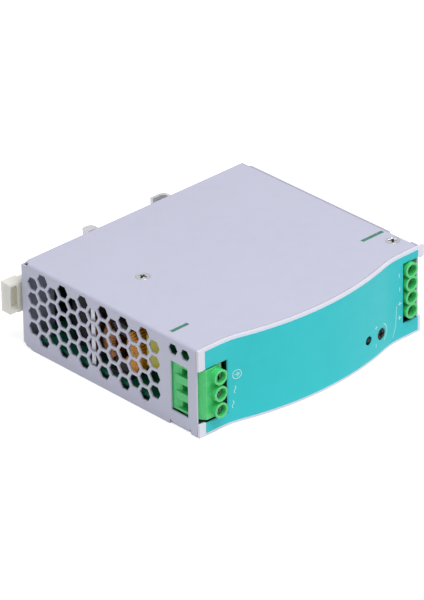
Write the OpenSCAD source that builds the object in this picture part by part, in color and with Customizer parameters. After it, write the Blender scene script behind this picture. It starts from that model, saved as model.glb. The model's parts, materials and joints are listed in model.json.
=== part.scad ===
// Switched-mode power supply for a 35 mm mounting rail, lying on its side plate.
// x runs from the input end to the output end, y from the front to the back, z up through the width.
// The modules work in the case frame: x = 0 is the outer face of the input end wall, y = 0 the outer
// face of the back wall and z = 0 the lower side plate. place() moves it to the origin of the part.

/* [Case] */
// Length between the outer faces of the two vented end walls
case_h = 125.2; // [118:0.1:140]
// Width across the two side plates
case_w = 40; // [39:0.5:46]
// Depth from the back wall to the flat ends of the front panel
case_d = 105.8; // [102:0.2:116]
// Thickness of the steel sheet
sheet_t = 0.8; // [0.7:0.1:1.2]
// Inner radius of the sheet bends
bend_r = 0.5; // [0.3:0.1:0.8]
// Seam between two neighbouring sheets
seam = 0.25; // [0.15:0.05:0.35]
// Height of the cover's lip on the back
lip_h = 4; // [3.5:0.1:4]
// Length of the corner relief where two bends meet
relief = 3.5; // [2.5:0.5:4]
// Slanted corner of an end wall, along its free edge
corner_y = 5.5; // [4:0.5:7]
// Slanted corner of an end wall, along the back
corner_z = 2.4; // [2:0.1:4]

/* [Screw tabs] */
// Reach of the bent-in tab from the outer face of its wall
tab_l = 9; // [8:0.5:12]
// Width of the tab
tab_w = 11; // [9:0.5:12]
// Distance of the tab's middle from the panel's flat ends
tab_in = 11.4; // [10:0.2:13]
// Distance of the tab's screw from the outer face of its wall
tab_screw_x = 4.9; // [4.5:0.1:5.2]

/* [Front panel] */
// How far the middle of the panel stands out from its flat ends
bulge = 7.5; // [5:0.5:9]
// Radius of the panel's raised middle
bulge_r = 140; // [120:5:150]
// Radius that blends the raised middle into the flat ends
blend_r = 40; // [30:5:45]
// Thickness of the panel
panel_t = 1.2; // [1:0.1:1.6]
// Depth of the rim behind the panel
rim_d = 4; // [3:0.5:5]
// Thickness of that rim
rim_t = 1.2; // [1:0.1:1.5]
// Thickness of the printed film on the panel
film_t = 0.2; // [0.1:0.05:0.4]
// Bare border above and below the film
film_edge = 1.3; // [0.8:0.1:2]
// Bare border of the film at the input end
film_in = 3.6; // [2:0.2:5]
// Bare border of the film at the output end
film_out = 1.6; // [1:0.2:3]
// How far the panel's upper ear stands past the output end
ear_l = 2; // [1:0.2:3]
// Height of that ear
ear_h = 5.4; // [3:0.2:5.6]

/* [Vents] */
// Width of a hexagonal vent across its flats
vent_flat = 5.7; // [4:0.1:5.8]
// Distance between two vents in one column
vent_row = 6.95; // [6.8:0.05:7.1]
// Distance between two columns
vent_col = 6.1; // [5.9:0.05:6.2]
// Number of columns
vent_cols = 13; // [8:1:13]
// Number of vents in the taller columns
vent_rows = 5; // [3:1:5]
// Distance of the first column from the back wall
vent_y = 6.6; // [6:0.2:7.2]
// How far the pattern sits off the middle, towards the wall's bent edge
vent_shift = 1.4; // [0:0.1:1.8]
// Distance of the two single vents below the bent edge's plate
vent_top = 4.8; // [4.6:0.1:6]
// Distance between those two
vent_pair = 7; // [6:0.1:8]
// How much smaller those two are
vent_less = 1; // [0.5:0.1:1.5]

/* [Boards] */
// Thickness of every printed board
pcb_t = 1.6; // [1.2:0.1:2]
// Height of the main board's underside
pcb_z = 5; // [4.5:0.5:6]
// Distance of the main board from the back wall
pcb_back = 4; // [3.5:0.5:6]
// Distance of the main board from the end walls
pcb_end = 1.6; // [1.2:0.2:3]
// Distance from the panel's flat ends to the front of the terminal boards
board_set = 19; // [18.6:0.1:19.2]
// Width of the input terminal board
in_board_w = 21; // [19:0.5:24]
// Width of the output terminal board
out_board_w = 38; // [37:0.5:42]
// Length of the tab that holds the input board in a side plate
in_tab = 9; // [7:0.5:10]
// Length of the tab that holds the output board in a side plate
out_tab = 11.8; // [9:0.2:12.4]
// Play of that tab in its slot
board_play = 0.15; // [0.1:0.05:0.3]
// Diameter of a standoff under the main board
post_d = 6; // [5:0.5:7]
// Thickness of the insulating sheet on the lower plate
sheet_ins = 0.4; // [0.2:0.1:0.6]

/* [Terminals] */
// Distance between two input poles
in_pitch = 7.62; // [7.5:0.01:7.8]
// Middle of the input block above the lower plate
in_mid = 18.25; // [18:0.05:19]
// Distance of the input screws from the outer face of their wall
in_screw_x = 9.3; // [9:0.1:10]
// Length of an input screw tube in front of its block
in_tube = 2.7; // [1.5:0.1:4]
// Width of an input clamp cage
in_cage_w = 5.1; // [5:0.1:5.5]
// How far the input block's clamps stand in front of the output block's
in_lift = 2.6; // [2:0.1:3]
// Length of the wire window in the input end wall
in_window = 22.9; // [20:0.1:24]
// Height of the panel's opening for the input block
in_cut = 24.4; // [24:0.1:25]
// Distance between two output poles
out_pitch = 6.35; // [6.3:0.01:6.5]
// Middle of the output block below the upper plate
out_drop = 18; // [17.5:0.1:19]
// Distance of the output screws from the outer face of their wall
out_screw_x = 6.3; // [6:0.1:7.2]
// Length of an output screw tube in front of its block
out_tube = 5.2; // [3:0.1:6.5]
// Reach of the panel's opening below the middle of the output block
out_cut_dn = 14.4; // [14:0.1:15]
// Reach of that opening above the middle of the output block
out_cut_up = 13.2; // [13.1:0.1:14]
// Width of an output clamp cage
out_cage_w = 5.2; // [5.1:0.05:5.3]
// Length of a clamp cage along the wire
cage_l = 6; // [5:0.2:6.4]
// Wall of the input cages
in_cage_t = 0.45; // [0.4:0.05:0.5]
// Wall of the output cages
out_cage_t = 0.45; // [0.4:0.05:0.5]
// Threaded wall of a cage
nut_t = 1.4; // [1.2:0.1:1.6]
// Free height for the wire with the clamp open
wire_gap = 4.4; // [4.2:0.1:4.6]
// Travel of a cage from open to shut
cage_travel = 3; // [2.5:0.1:3]
// Thickness of the contact strip
bar_t = 0.8; // [0.6:0.1:1]
// Width of the contact strip
bar_w = 3.2; // [2.4:0.1:3.4]
// Floor of a terminal housing under its cages
floor_t = 3.2; // [2.6:0.1:3.4]
// Shelf under the screw heads
shelf_t = 1.1; // [0.8:0.1:1.3]
// Diameter of a clamp screw's head
head_d = 4.6; // [4.2:0.1:4.7]
// Height of a clamp screw's head
head_h = 2.2; // [1.8:0.1:2.4]
// Thread diameter of a clamp screw
thread_d = 3; // [2.8:0.1:3.2]
// Bore of a screw tube
tube_in = 5; // [4.9:0.05:5.2]
// Outer diameter of a screw tube
tube_out = 6.8; // [6.4:0.1:7]
// Radial running clearance of screws in their threads
run_gap = 0.05; // [0.03:0.01:0.08]
// Clearance round a sliding cage
slide_gap = 0.1; // [0.08:0.01:0.15]

/* [Adjuster and lamp] */
// Distance of the lamp from the output end
led_x = 34.8; // [33:0.2:36]
// Distance of the adjuster from the lamp
pot_pitch = 9.4; // [8:0.1:10]
// Height of the adjuster above the lower plate
front_z = 9.5; // [9:0.1:12]
// How much higher the lamp is
led_rise = 1.4; // [0:0.1:2]
// Diameter of the lamp
led_d = 3; // [2.5:0.1:3.2]
// Hole in the panel for the lamp
led_hole = 3.8; // [3.6:0.1:4.4]
// Diameter of the adjuster's rotor
rotor_d = 4.4; // [3.8:0.1:4.5]
// Hole in the panel for the adjuster
pot_hole = 5; // [4.8:0.1:5.6]
// Side of the adjuster's square body
pot_side = 9.6; // [8:0.2:10]
// Height of the adjuster's body over its board
pot_h = 12; // [9:0.5:14]

/* [Rail mount] */
// Width of the mounting rail
rail_w = 35; // [35:0.1:35.5]
// Thickness of the rail's edge
rail_t = 1; // [1:0.1:1.3]
// Distance of the rail's fixed edge from the input end
rail_hi = 84.4; // [83:0.2:88]
// Play of the rail under the hooks
rail_play = 0.3; // [0.2:0.05:0.5]
// Height of the rail's seat behind the back wall
seat_h = 4.4; // [4:0.1:5]
// Thickness of the bracket
br_t = 1.5; // [1.2:0.1:1.6]
// Distance of the bracket from both sides
br_in = 2.6; // [2:0.2:3]
// Distance of the bracket's plain end from the input end
br_x = 5; // [4:0.5:6]
// Width of one hook
hook_w = 10; // [6:0.5:11]
// Reach of a hook over the rail
hook_l = 6.2; // [4:0.2:7]
// Outer radius of a hook
hook_r = 3; // [2.5:0.1:3.2]
// Distance of the lower lugs from the input end
lug_x = 45.3; // [44:0.1:46]
// Height of the lower lugs behind the back wall
lug_h = 7.4; // [6.5:0.1:8]
// Width of one lower lug
lug_w = 5.8; // [4:0.2:6]
// Reach of a lower lug
lug_l = 3.4; // [3:0.1:5]
// Thickness of a lower lug's folded lip
lug_t = 4.2; // [2:0.1:4.4]
// Shank diameter of the bracket's rivets
rivet_d = 3; // [2.5:0.1:3.2]

/* [Latch] */
// How far the latch sits above the middle of the width
latch_shift = 2.5; // [0:0.5:3]
// Width of the latch
latch_w = 13.8; // [12:0.2:14]
// Top of the latch behind the back wall
latch_h = 6.4; // [6:0.1:6.8]
// Reach of the pull tab past the input end
pull_l = 4.6; // [4:0.2:7]
// Thickness of the pull tab
pull_t = 5.3; // [4.5:0.1:6]
// Distance of the pull tab from the plane of the back wall
pull_y = 2.6; // [2:0.1:3]
// Travel of the latch
latch_travel = 5; // [4:0.5:6]
// Reach of the latch nose under the rail
nose_l = 2.2; // [1.6:0.1:2.6]
// Width of a side flange of the latch
flange_w = 1.8; // [1.4:0.1:1.8]
// Thickness of a side flange
flange_t = 1.4; // [1.2:0.1:1.6]
// Clearance round the latch
latch_gap = 0.3; // [0.25:0.05:0.4]
// Outer diameter of the return spring
spring_d = 4; // [3.4:0.1:4.2]
// Wire of the return spring
spring_wire = 0.6; // [0.4:0.1:0.7]
// Turns of the return spring
spring_turns = 9; // [6:1:10]

/* [Inner parts] */
// Thickness of the aluminium heat sinks
sink_t = 2.5; // [2:0.1:3]
// Length of the primary heat sink
sink_l = 37; // [34:0.5:40]
// Distance of the primary heat sink's screw from the input end
sink_screw_x = 26.7; // [24:0.1:28]
// Depth of the flange that takes that screw
sink_flange = 9.5; // [9:0.1:10]
// Distance of the secondary heat sink from the output end
sink_end = 9; // [8:0.5:10]
// Height of the secondary heat sink
sink_h = 28; // [20:0.5:29]
// Diameter of a bulk capacitor
bulk_d = 20; // [18:0.5:20]
// Height of a bulk capacitor
bulk_h = 26; // [20:0.5:27]
// Diameter of an output capacitor
ocap_d = 10; // [8:0.5:10.5]
// Height of an output capacitor
ocap_h = 22; // [15:0.5:26]
// Length of the interference capacitor on the input board
xcap_l = 18; // [14:0.5:18]
// Depth of that capacitor
xcap_d = 12; // [8:0.5:12]
// Height of that capacitor
xcap_h = 14; // [10:0.5:15]
// Outer diameter of the line choke
choke_d = 22; // [18:0.5:22]
// Bore of the line choke's core
choke_in = 12; // [10:0.5:12]
// Width of the line choke's core
choke_w = 8; // [6:0.5:9]
// Outer diameter of the output choke
ochoke_d = 20; // [16:0.5:20]
// Height of the output choke
ochoke_h = 10; // [8:0.5:12]
// Length of the transformer's core
core_l = 33; // [30:0.5:34]
// Depth of the transformer's core
core_d = 32; // [28:0.5:33]
// Thickness of the transformer's core
core_t = 11; // [9:0.5:12]

/* [Hidden] */
$fn = 48;
in_poles = 3;
out_poles = 4;
far = 300;           // longer than anything in the part, for cutting planes
cut = 0.5;           // overrun of a cut past the face it leaves

// Sheet metal
bend_o = bend_r + sheet_t;
edge_d = case_d - panel_t - seam;
tab_y = case_d - tab_in;
back_h = case_w - lip_h - seam;

// Panel outline: a convex arc in the middle, two concave arcs, flat ends
mid_x = case_h / 2;
blend_dx = sqrt(2 * (bulge_r + blend_r) * bulge - bulge * bulge);
bulge_y = bulge_r - case_d - bulge;
function turn_share(o) = (bulge_r - o) / (bulge_r + blend_r);
function turn_x(o) = blend_dx * turn_share(o);
function turn_y(o) = bulge_y - (blend_r + bulge_r - bulge) * turn_share(o);
// Place of the panel's outer face at x
function panel_y(x) = abs(x - mid_x) < turn_x(0)
    ? bulge_y - sqrt(bulge_r * bulge_r - (x - mid_x) * (x - mid_x))
    : abs(x - mid_x) < blend_dx
        ? -case_d - blend_r + sqrt(blend_r * blend_r - pow(blend_dx - abs(x - mid_x), 2))
        : -case_d;

// Boards
board_f = -(case_d - board_set);
board_b = board_f + pcb_t;
pcb_top = pcb_z + pcb_t;
board_lo = sheet_t + 2 * seam;
board_hi = case_w - board_lo;
in_tab_x = sheet_t + 3;
out_tab_x = case_h - sheet_t - pcb_end - out_tab;

// Terminal stack, measured from the board's front face towards the panel
cage_0 = floor_t + slide_gap;
in_cage_b = cage_0 + 0.8;
bar_0 = in_cage_b + wire_gap;
bar_1 = bar_0 + bar_t;
tip_0 = bar_1 + slide_gap;
nut_0 = bar_1 + 4 * slide_gap;
nut_1 = nut_0 + nut_t;
cavity_1 = nut_1 + cage_travel + slide_gap;
shelf_1 = cavity_1 + shelf_t;
head_0 = shelf_1 + slide_gap;
head_1 = head_0 + head_h;
brow_1 = shelf_1 + 1.6;           // front of the input block between its tubes
entry_x = sheet_t + seam;          // wire side of a housing, from the outer face of its wall
in_wall = 0.45;                    // end wall of the input housing past its lowest pole
wall_t = 1.2;                      // end walls of the output housing
ramp_l = 3;                        // slope that leads a wire in, along the wall
ramp_d = 1.6;                      // depth of that slope
brow_cut = [2.6, 3.4];             // slanted front corner of the input block
rear_wall = 0.9;                   // front wall of the input block past its cages
leg_t = 0.8;                       // leg of a contact strip
leg_gap = 0.6;                     // leg of a contact strip behind its cage
leg_out = 1.5;                     // leg behind its board
leg_play = 0.2;                    // play of a leg in its hole
housing_rear = leg_gap + leg_t + 2.2;
out_mid = case_w - out_drop;
window_edge = 0.9;                 // output housing hidden behind each edge of its window
window_hi = nut_1 + 1.4;
window_lo = cage_0 - 0.8;
panel_cut = 0.4;                   // gap round a terminal block in the panel
in_side_gap = 2.4;                 // gap beside the input tubes in the panel
in_lo = in_pitch + in_cage_w / 2 + slide_gap + in_wall;
in_hi = in_cut / 2 - panel_cut;
out_half = (out_poles * out_pitch - out_pitch + out_cage_w) / 2 + slide_gap + wall_t;

// Countersunk case screws
cs_d = 6.2;
cs_h = 1.6;
cs_gap = 0.05;
m3 = 3;
case_screw_l = 4;
cross_l = 3.4;       // cross recess of the screws
cross_w = 0.8;
cross_d = 1.2;

// Rail mount
hook_x = rail_hi + rail_play;
hook_y = seat_h + rail_t + rail_play;
rail_lo = rail_hi - rail_w;
br_w = case_w - 2 * br_in;
rib_w = 6;
rib_flare = 1;       // how much wider a rib is at each side of its foot
rib_t = 1;
rib_z = 5.2;
rib_end = 4;         // from the rail's edge to the end of a rib
rivet_head = 4.2;
rivet_hi = 1.2;
lug_r = hook_r - 0.5;
lug_slot = lug_h + lug_l - br_t;
rivet_z = 3.6;       // from the bracket's edge to the outer rivets
rivet_x = [24, 66];
rivet_mid = 4;       // from the middle of the width to the inner rivets
lug_rivet = 3.2;     // from a lower lug to its rivet
rivets = [[rivet_x[0], br_in + rivet_z], [lug_x + lug_rivet, br_in + rivet_z],
    [lug_x + lug_rivet, case_w - br_in - rivet_z],
    [rivet_x[1], case_w / 2 - rivet_mid], [rivet_x[1], case_w / 2 + rivet_mid]];

// Latch
latch_z = case_w / 2 + latch_shift;
latch_lo = br_t + latch_gap;
flange_hi = latch_lo + flange_t;
guide_lo = flange_hi + latch_gap;
guide_z = latch_w / 2 + flange_w + latch_gap;
post_x = br_x + 4;
post_t = 1.2;
slot_x1 = rail_lo - 15.4;
slot_w = spring_d + 2 * latch_gap;
spring_y = latch_lo + latch_gap + spring_d / 2;
pocket_wall = 0.7;   // walls and floor of the pull tab's pocket, and its length
pocket_side = 1.4;
pocket_floor = 1.8;
pocket_l = 5.4;
guides = [14, 28];
guide_l = 6;

// Part origin: middle of the whole outline, on the lower plate
x_lo = -pull_l;
x_hi = case_h + ear_l;
y_lo = -(case_d + bulge + film_t);
y_hi = max(nose_top(), pull_y + pull_t, hook_y + br_t, lug_h);
function nose_top() = hook_y + 2.4;

// Colours
steel_c = [0.78, 0.79, 0.85];
zinc_c = [0.72, 0.73, 0.76];
panel_c = [0.90, 0.90, 0.95];
film_c = [0.22, 0.74, 0.77];
terminal_c = [0.30, 0.78, 0.42];
latch_c = [0.88, 0.86, 0.79];
board_c = [0.13, 0.42, 0.24];
copper_c = [0.80, 0.55, 0.30];
black_c = [0.10, 0.10, 0.11];
ferrite_c = [0.22, 0.22, 0.24];
tape_c = [0.88, 0.75, 0.25];
alu_c = [0.70, 0.71, 0.73];

module place() translate([-(x_lo + x_hi) / 2, -(y_lo + y_hi) / 2, 0]) children();

// Outline of the case seen from the side, with its front edge o behind the panel's outer face
module front_outline(o) {
    drop = -case_d + o;
    difference() {
        union() {
            translate([0, turn_y(o)]) square([case_h, -turn_y(o)]);
            intersection() {
                translate([mid_x, bulge_y]) circle(bulge_r - o, $fn = 180);
                translate([mid_x - turn_x(o), -case_d - 2 * bulge])
                    square([2 * turn_x(o), 4 * bulge]);
            }
        }
        for (x = [-cut, mid_x + blend_dx])
            translate([x, turn_y(o) - cut])
                square([mid_x - blend_dx + cut, drop - turn_y(o) + cut]);
        for (s = [-1, 1])
            intersection() {
                translate([mid_x + s * blend_dx, -case_d - blend_r]) circle(blend_r + o, $fn = 96);
                translate([mid_x + s * (blend_dx + turn_x(o)) / 2 - (blend_dx - turn_x(o)) / 2,
                        turn_y(o) - cut])
                    square([blend_dx - turn_x(o), drop - turn_y(o) + cut]);
            }
    }
}

// Skin between two offsets of the outline, from x0 to x1
module front_skin(o0, o1, x0, x1) {
    intersection() {
        difference() {
            front_outline(o0);
            front_outline(o1);
        }
        translate([x0, -case_d - 2 * bulge]) square([x1 - x0, case_d + 2 * bulge]);
    }
}

module round_rect(w, h, r) {
    translate([r, 0]) square([w - 2 * r, h]);
    translate([0, r]) square([w, h - 2 * r]);
    for (x = [r, w - r], y = [r, h - r]) translate([x, y]) circle(r, $fn = 32);
}

module round_block(size, r) linear_extrude(size[2]) round_rect(size[0], size[1], r);

module bend_section() {
    intersection() {
        difference() {
            circle(bend_o, $fn = 32);
            circle(bend_r, $fn = 32);
        }
        square(bend_o);
    }
}

// Lays a section drawn in (y, z) along x
module along_x(l) rotate([90, 0, 90]) linear_extrude(l) children();

// Lays a section drawn in (x, z) along -y
module along_y(l) rotate([90, 0, 0]) linear_extrude(l) children();

module vent_hex(d) circle(d = d / cos(30), $fn = 6);

module vents() {
    for (c = [0 : vent_cols - 1]) {
        n = vent_rows - 1 + c % 2;
        for (r = [0 : n - 1])
            translate([-(vent_y + c * vent_col), case_w / 2 + vent_shift + (r - (n - 1) / 2) * vent_row])
                vent_hex(vent_flat);
    }
    for (s = [-1, 1])
        translate([-tab_y + s * vent_pair / 2, case_w - vent_top]) vent_hex(vent_flat - vent_less);
}

// Void of a countersunk screw pointing down, its head flush at z = 0
module screw_void(l) {
    translate([0, 0, -cs_h - cs_gap])
        cylinder(d1 = m3 + 2 * cs_gap, d2 = cs_d + 2 * cs_gap, h = cs_h);
    translate([0, 0, -cs_gap]) cylinder(d = cs_d + 2 * cs_gap, h = cut);
    translate([0, 0, -l]) cylinder(d = m3 + 2 * cs_gap, h = l);
}

module case_screw() {
    difference() {
        union() {
            translate([0, 0, -cs_h - cs_gap]) cylinder(d1 = m3, d2 = cs_d, h = cs_h);
            translate([0, 0, -case_screw_l]) cylinder(d = m3, h = case_screw_l - cs_h);
        }
        for (a = [0, 90]) rotate(a) translate([-cross_l / 2, -cross_w / 2, -cross_d])
            cube([cross_l, cross_w, 2 * cross_d]);
    }
}

// One bent half of the case in the place of the cover: plate on top, end wall at x = 0
module half_shell(back_lip, window_mid, window_len) {
    difference() {
        union() {
            translate([0, 0, case_w - sheet_t]) linear_extrude(sheet_t) intersection() {
                front_outline(panel_t + seam);
                translate([bend_o, -far])
                    square([case_h - sheet_t - seam - bend_o, far - bend_o]);
            }
            translate([bend_o, -relief, case_w - bend_o])
                along_y(edge_d - relief) mirror([1, 0]) bend_section();
            translate([relief, -bend_o, case_w - bend_o])
                along_x(case_h - sheet_t - seam - relief) bend_section();
            translate([sheet_t + seam, -sheet_t, case_w - back_lip])
                cube([case_h - 2 * (sheet_t + seam), sheet_t, back_lip - bend_o]);
            along_x(sheet_t) difference() {
                translate([-edge_d, 0]) square([edge_d, case_w - bend_o]);
                vents();
                translate([board_f - window_hi, window_mid - window_len / 2])
                    square([window_hi - window_lo, window_len]);
                polygon([[cut, -cut], [cut, corner_z], [0, corner_z], [-corner_y, 0], [-corner_y, -cut]]);
                translate([-tab_y - tab_w / 2 - sheet_t, -cut])
                    square([tab_w + 2 * sheet_t, sheet_t + bend_o + cut]);
            }
            translate([0, -tab_y + tab_w / 2, 0]) {
                translate([bend_o, 0, sheet_t + bend_o]) along_y(tab_w) rotate(180) bend_section();
                translate([bend_o, -tab_w, sheet_t]) cube([tab_l - bend_o, tab_w, sheet_t]);
            }
        }
        translate([case_h - tab_screw_x, -tab_y, case_w]) screw_void(case_screw_l);
        translate([tab_screw_x, -tab_y, 0]) rotate([180, 0, 0]) screw_void(case_screw_l);
    }
}

// Slots in both side plates for the tabs of the terminal boards
module board_slots() {
    for (t = [[in_tab_x, in_tab], [out_tab_x, out_tab]])
        translate([t[0] - board_play, board_f - board_play, -cut])
            cube([t[1] + 2 * board_play, pcb_t + 2 * board_play, case_w + 2 * cut]);
}

module upper_cover() color(steel_c) place() difference() {
    half_shell(lip_h, in_mid, in_window);
    translate([sink_screw_x, sink_screw_y, case_w]) screw_void(case_screw_l);
    board_slots();
}

module lower_chassis() color(steel_c) place() difference() {
    translate([case_h, 0, case_w]) rotate([0, 180, 0])
        half_shell(back_h, case_w - out_mid, 2 * (out_half - window_edge));
    for (r = rivets) translate([r[0], 0, r[1]]) rivet_hole();
    board_slots();
}

// Cut-outs of the panel, grown by g
module panel_cuts(g) {
    translate([-far, -far, in_mid - in_cut / 2 - g])
        cube([far + in_screw_x + tube_out / 2 + in_side_gap + g, far, in_cut + 2 * g]);
    translate([case_h - out_screw_x - tube_out / 2 - panel_cut - g, -far, out_mid - out_cut_dn - g])
        cube([far, far, out_cut_dn + out_cut_up + 2 * g]);
    translate([case_h - led_x, 0, front_z + led_rise]) rotate([90, 0, 0])
        cylinder(d = led_hole + 2 * g, h = far);
    translate([case_h - pot_x, 0, front_z]) rotate([90, 0, 0]) cylinder(d = pot_hole + 2 * g, h = far);
}

module front_panel() color(panel_c) place() {
    rim_x = in_screw_x + tube_out + rim_t;
    rim_end = case_h - out_screw_x - tube_out - rim_t;
    difference() {
        union() {
            linear_extrude(case_w) front_skin(0, panel_t, 0, case_h);
            for (z = [sheet_t + seam, case_w - sheet_t - seam - rim_t])
                translate([0, 0, z]) linear_extrude(rim_t)
                    front_skin(panel_t - seam, panel_t + rim_d, rim_x, rim_end);
        }
        panel_cuts(0);
    }
    translate([case_h, -case_d, case_w - ear_h]) along_x(ear_l) square([panel_t, ear_h]);
}

module front_label() color(film_c) place() difference() {
    translate([0, 0, film_edge]) linear_extrude(case_w - 2 * film_edge)
        front_skin(-film_t, 0, film_in, case_h - film_out);
    panel_cuts(0.4);
}

module cover_screws() color(zinc_c) place() {
    translate([sink_screw_x, sink_screw_y, case_w]) case_screw();
    translate([case_h - tab_screw_x, -tab_y, case_w]) case_screw();
    translate([tab_screw_x, -tab_y, 0]) rotate([180, 0, 0]) case_screw();
}

// Rail mount

module rivet_hole() rotate([90, 0, 0])
    translate([0, 0, -far / 2]) cylinder(d = rivet_d + 2 * cs_gap, h = far);

// Arch of a rib that the rail lies on, in (y, z), from its foot up to the rail
module rib(l, foot, inset) along_x(l)
    polygon([[foot, -rib_w / 2 - rib_flare + inset], [seat_h - inset, -rib_w / 2 + inset],
        [seat_h - inset, rib_w / 2 - inset], [foot, rib_w / 2 + rib_flare - inset]]);

// Hook in (x, y): wall from the plate, round crest, lip pointing to -x
module hook_section(reach, top, r) {
    translate([-br_t, 0]) square([br_t, top - r]);
    translate([-r, top - r]) intersection() {
        difference() {
            circle(r, $fn = 32);
            circle(r - br_t, $fn = 32);
        }
        square(r);
    }
    translate([-br_t - reach, top - br_t]) square([reach + br_t - r, br_t]);
}

module rail_bracket() color(zinc_c) place() difference() {
    union() {
        translate([br_x, 0, br_in]) cube([hook_x - br_x, br_t, br_w]);
        for (z = [br_in, case_w - br_in - hook_w])
            translate([hook_x + br_t, 0, z]) linear_extrude(hook_w)
                hook_section(hook_l, hook_y + br_t, hook_r);
        for (z = [br_in, case_w - br_in - lug_w])
            translate([lug_x, 0, z]) linear_extrude(lug_w) {
                hook_section(lug_l, lug_h, lug_r);
                translate([-br_t - lug_l, lug_h - lug_t]) square([lug_l, lug_t - br_t / 2]);
            }
        for (z = [br_in + rib_z, case_w - br_in - rib_z])
            translate([rail_lo + rib_end, 0, z]) rib(rail_w - 2 * rib_end, 0, 0);
        for (x = guides, s = [-1, 1])
            translate([x, br_t - 0.1, latch_z]) mirror([0, 0, s < 0 ? 1 : 0]) {
                translate([0, 0, guide_z]) cube([guide_l, guide_lo - br_t + post_t + 0.1, post_t]);
                translate([0, guide_lo - br_t + 0.1, guide_z - flange_w + latch_gap])
                    cube([guide_l, post_t, flange_w]);
            }
        translate([post_x, br_t - 0.1, latch_z - spring_d / 2])
            cube([post_t, latch_h - br_t - latch_gap, spring_d]);
    }
    for (z = [br_in + rib_z, case_w - br_in - rib_z])
        translate([rail_lo + rib_end - cut, 0, z]) rib(rail_w - 2 * (rib_end - cut), -cut, rib_t);
    for (z = [br_in - cut, case_w - br_in - lug_w])
        translate([lug_x - br_t - lug_slot, -cut, z]) cube([lug_slot, br_t + cut, lug_w + cut]);
    translate([hook_x - hook_w / 2, -cut, br_in + hook_w]) cube([far, br_t + 2 * cut, br_w - 2 * hook_w]);
    for (r = rivets) translate([r[0], 0, r[1]]) rivet_hole();
}

module bracket_rivets() color(zinc_c) place() for (r = rivets)
    translate([r[0], br_t, r[1]]) rotate([90, 0, 0]) {
        translate([0, 0, -rivet_hi]) cylinder(d1 = rivet_head - 1, d2 = rivet_head, h = rivet_hi);
        cylinder(d = rivet_d, h = br_t + sheet_t);
        translate([0, 0, br_t + sheet_t]) cylinder(d = rivet_head, h = rivet_hi);
    }

// Side view of the latch in (x, y): body, nose under the rail's edge, pull tab
module latch_section() {
    stop = rail_lo - latch_gap;
    polygon([[-1, latch_lo], [stop, latch_lo], [stop, hook_y], [stop + nose_l, hook_y],
        [stop + nose_l, hook_y + 0.6], [stop + 0.4, nose_top()], [stop - 2.6, nose_top()],
        [stop - 6, latch_h], [-1, latch_h]]);
    translate([-pull_l, pull_y]) square([pull_l + 3, pull_t]);
}

module rail_latch() color(latch_c) place() difference() {
    union() {
        translate([0, 0, latch_z - latch_w / 2]) linear_extrude(latch_w) latch_section();
        translate([guides[0] - latch_travel, latch_lo, latch_z - latch_w / 2 - flange_w])
            cube([guides[1] - guides[0] + guide_l + latch_travel, flange_t, latch_w + 2 * flange_w]);
    }
    translate([post_x - latch_gap, 0, latch_z - slot_w / 2])
        cube([slot_x1 - post_x + latch_gap, far, slot_w]);
    translate([pocket_wall - pull_l, pull_y - cut, latch_z - latch_w / 2 + pocket_side])
        cube([pocket_l, pull_t - pocket_floor + cut, latch_w - 2 * pocket_side]);
}

// Return spring: an open helix between the bracket's post and the end of the latch's slot
function helix(n, l, r) = [for (i = [0 : n]) [l * i / n, r * cos(360 * spring_turns * i / n),
    r * sin(360 * spring_turns * i / n)]];

module latch_spring() color(zinc_c) {
    steps = 10 * spring_turns;
    sides = 6;
    r = (spring_d - spring_wire) / 2;
    l = slot_x1 - post_x - post_t - spring_wire - 2 * slide_gap;
    path = helix(steps, l, r);
    lead = atan2(l / spring_turns, 2 * PI * r);
    rings = [for (i = [0 : steps]) let (a = 360 * spring_turns * i / steps) [for (k = [0 : sides - 1])
        let (b = 360 * k / sides, u = spring_wire / 2 * cos(b), v = spring_wire / 2 * sin(b))
        path[i] + [v * cos(lead), u * cos(a) + v * sin(lead) * sin(a),
            u * sin(a) - v * sin(lead) * cos(a)]]];
    echo(least_spring_gap = l / spring_turns * cos(lead) - spring_wire);
    place() translate([post_x + post_t + slide_gap + spring_wire / 2, spring_y, latch_z]) polyhedron(
        points = [for (ring = rings, p = ring) p],
        faces = concat([[for (k = [0 : sides - 1]) k]],
            [for (i = [0 : steps - 1], k = [0 : sides - 1]) let (n = (k + 1) % sides)
                each [[i * sides + k, (i + 1) * sides + k, (i + 1) * sides + n],
                    [i * sides + k, (i + 1) * sides + n, i * sides + n]]],
            [[for (k = [sides - 1 : -1 : 0]) steps * sides + k]]));
}

// Boards

post_end = 5.5;      // from the end walls to the posts at the back
post_in = 9;         // from the back wall to those posts
post_mid = 34;       // from the end walls to the posts at the front
post_front = 6;      // from the terminal boards to those posts
screw_head = 5.5;    // head of a board screw
posts = [[post_end, -post_in], [case_h - post_end, -post_in],
    [post_mid, board_b + post_front], [case_h - post_mid, board_b + post_front]];

module main_board() color(board_c) place() difference() {
    translate([sheet_t + pcb_end, board_b, pcb_z])
        cube([case_h - 2 * (sheet_t + pcb_end), -board_b - pcb_back, pcb_t]);
    for (p = posts) translate([p[0], p[1], 0]) cylinder(d = m3 + 4 * cs_gap, h = far);
}

module board_standoffs() color(zinc_c) place() for (p = posts) translate([p[0], p[1], sheet_t])
    difference() {
        cylinder(d = post_d, h = pcb_z - sheet_t);
        translate([0, 0, 1]) cylinder(d = m3 + 2 * cs_gap, h = far);
    }

module board_screws() color(zinc_c) place() for (p = posts) translate([p[0], p[1], pcb_top]) difference() {
    union() {
        cylinder(d = screw_head, h = screw_head / 3);
        translate([0, 0, -pcb_t - m3 / 2]) cylinder(d = m3, h = pcb_t + m3 / 2);
    }
    for (a = [0, 90]) rotate(a) translate([-cross_l / 2, -cross_w / 2, screw_head / 6])
        cube([cross_l, cross_w, screw_head]);
}

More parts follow.
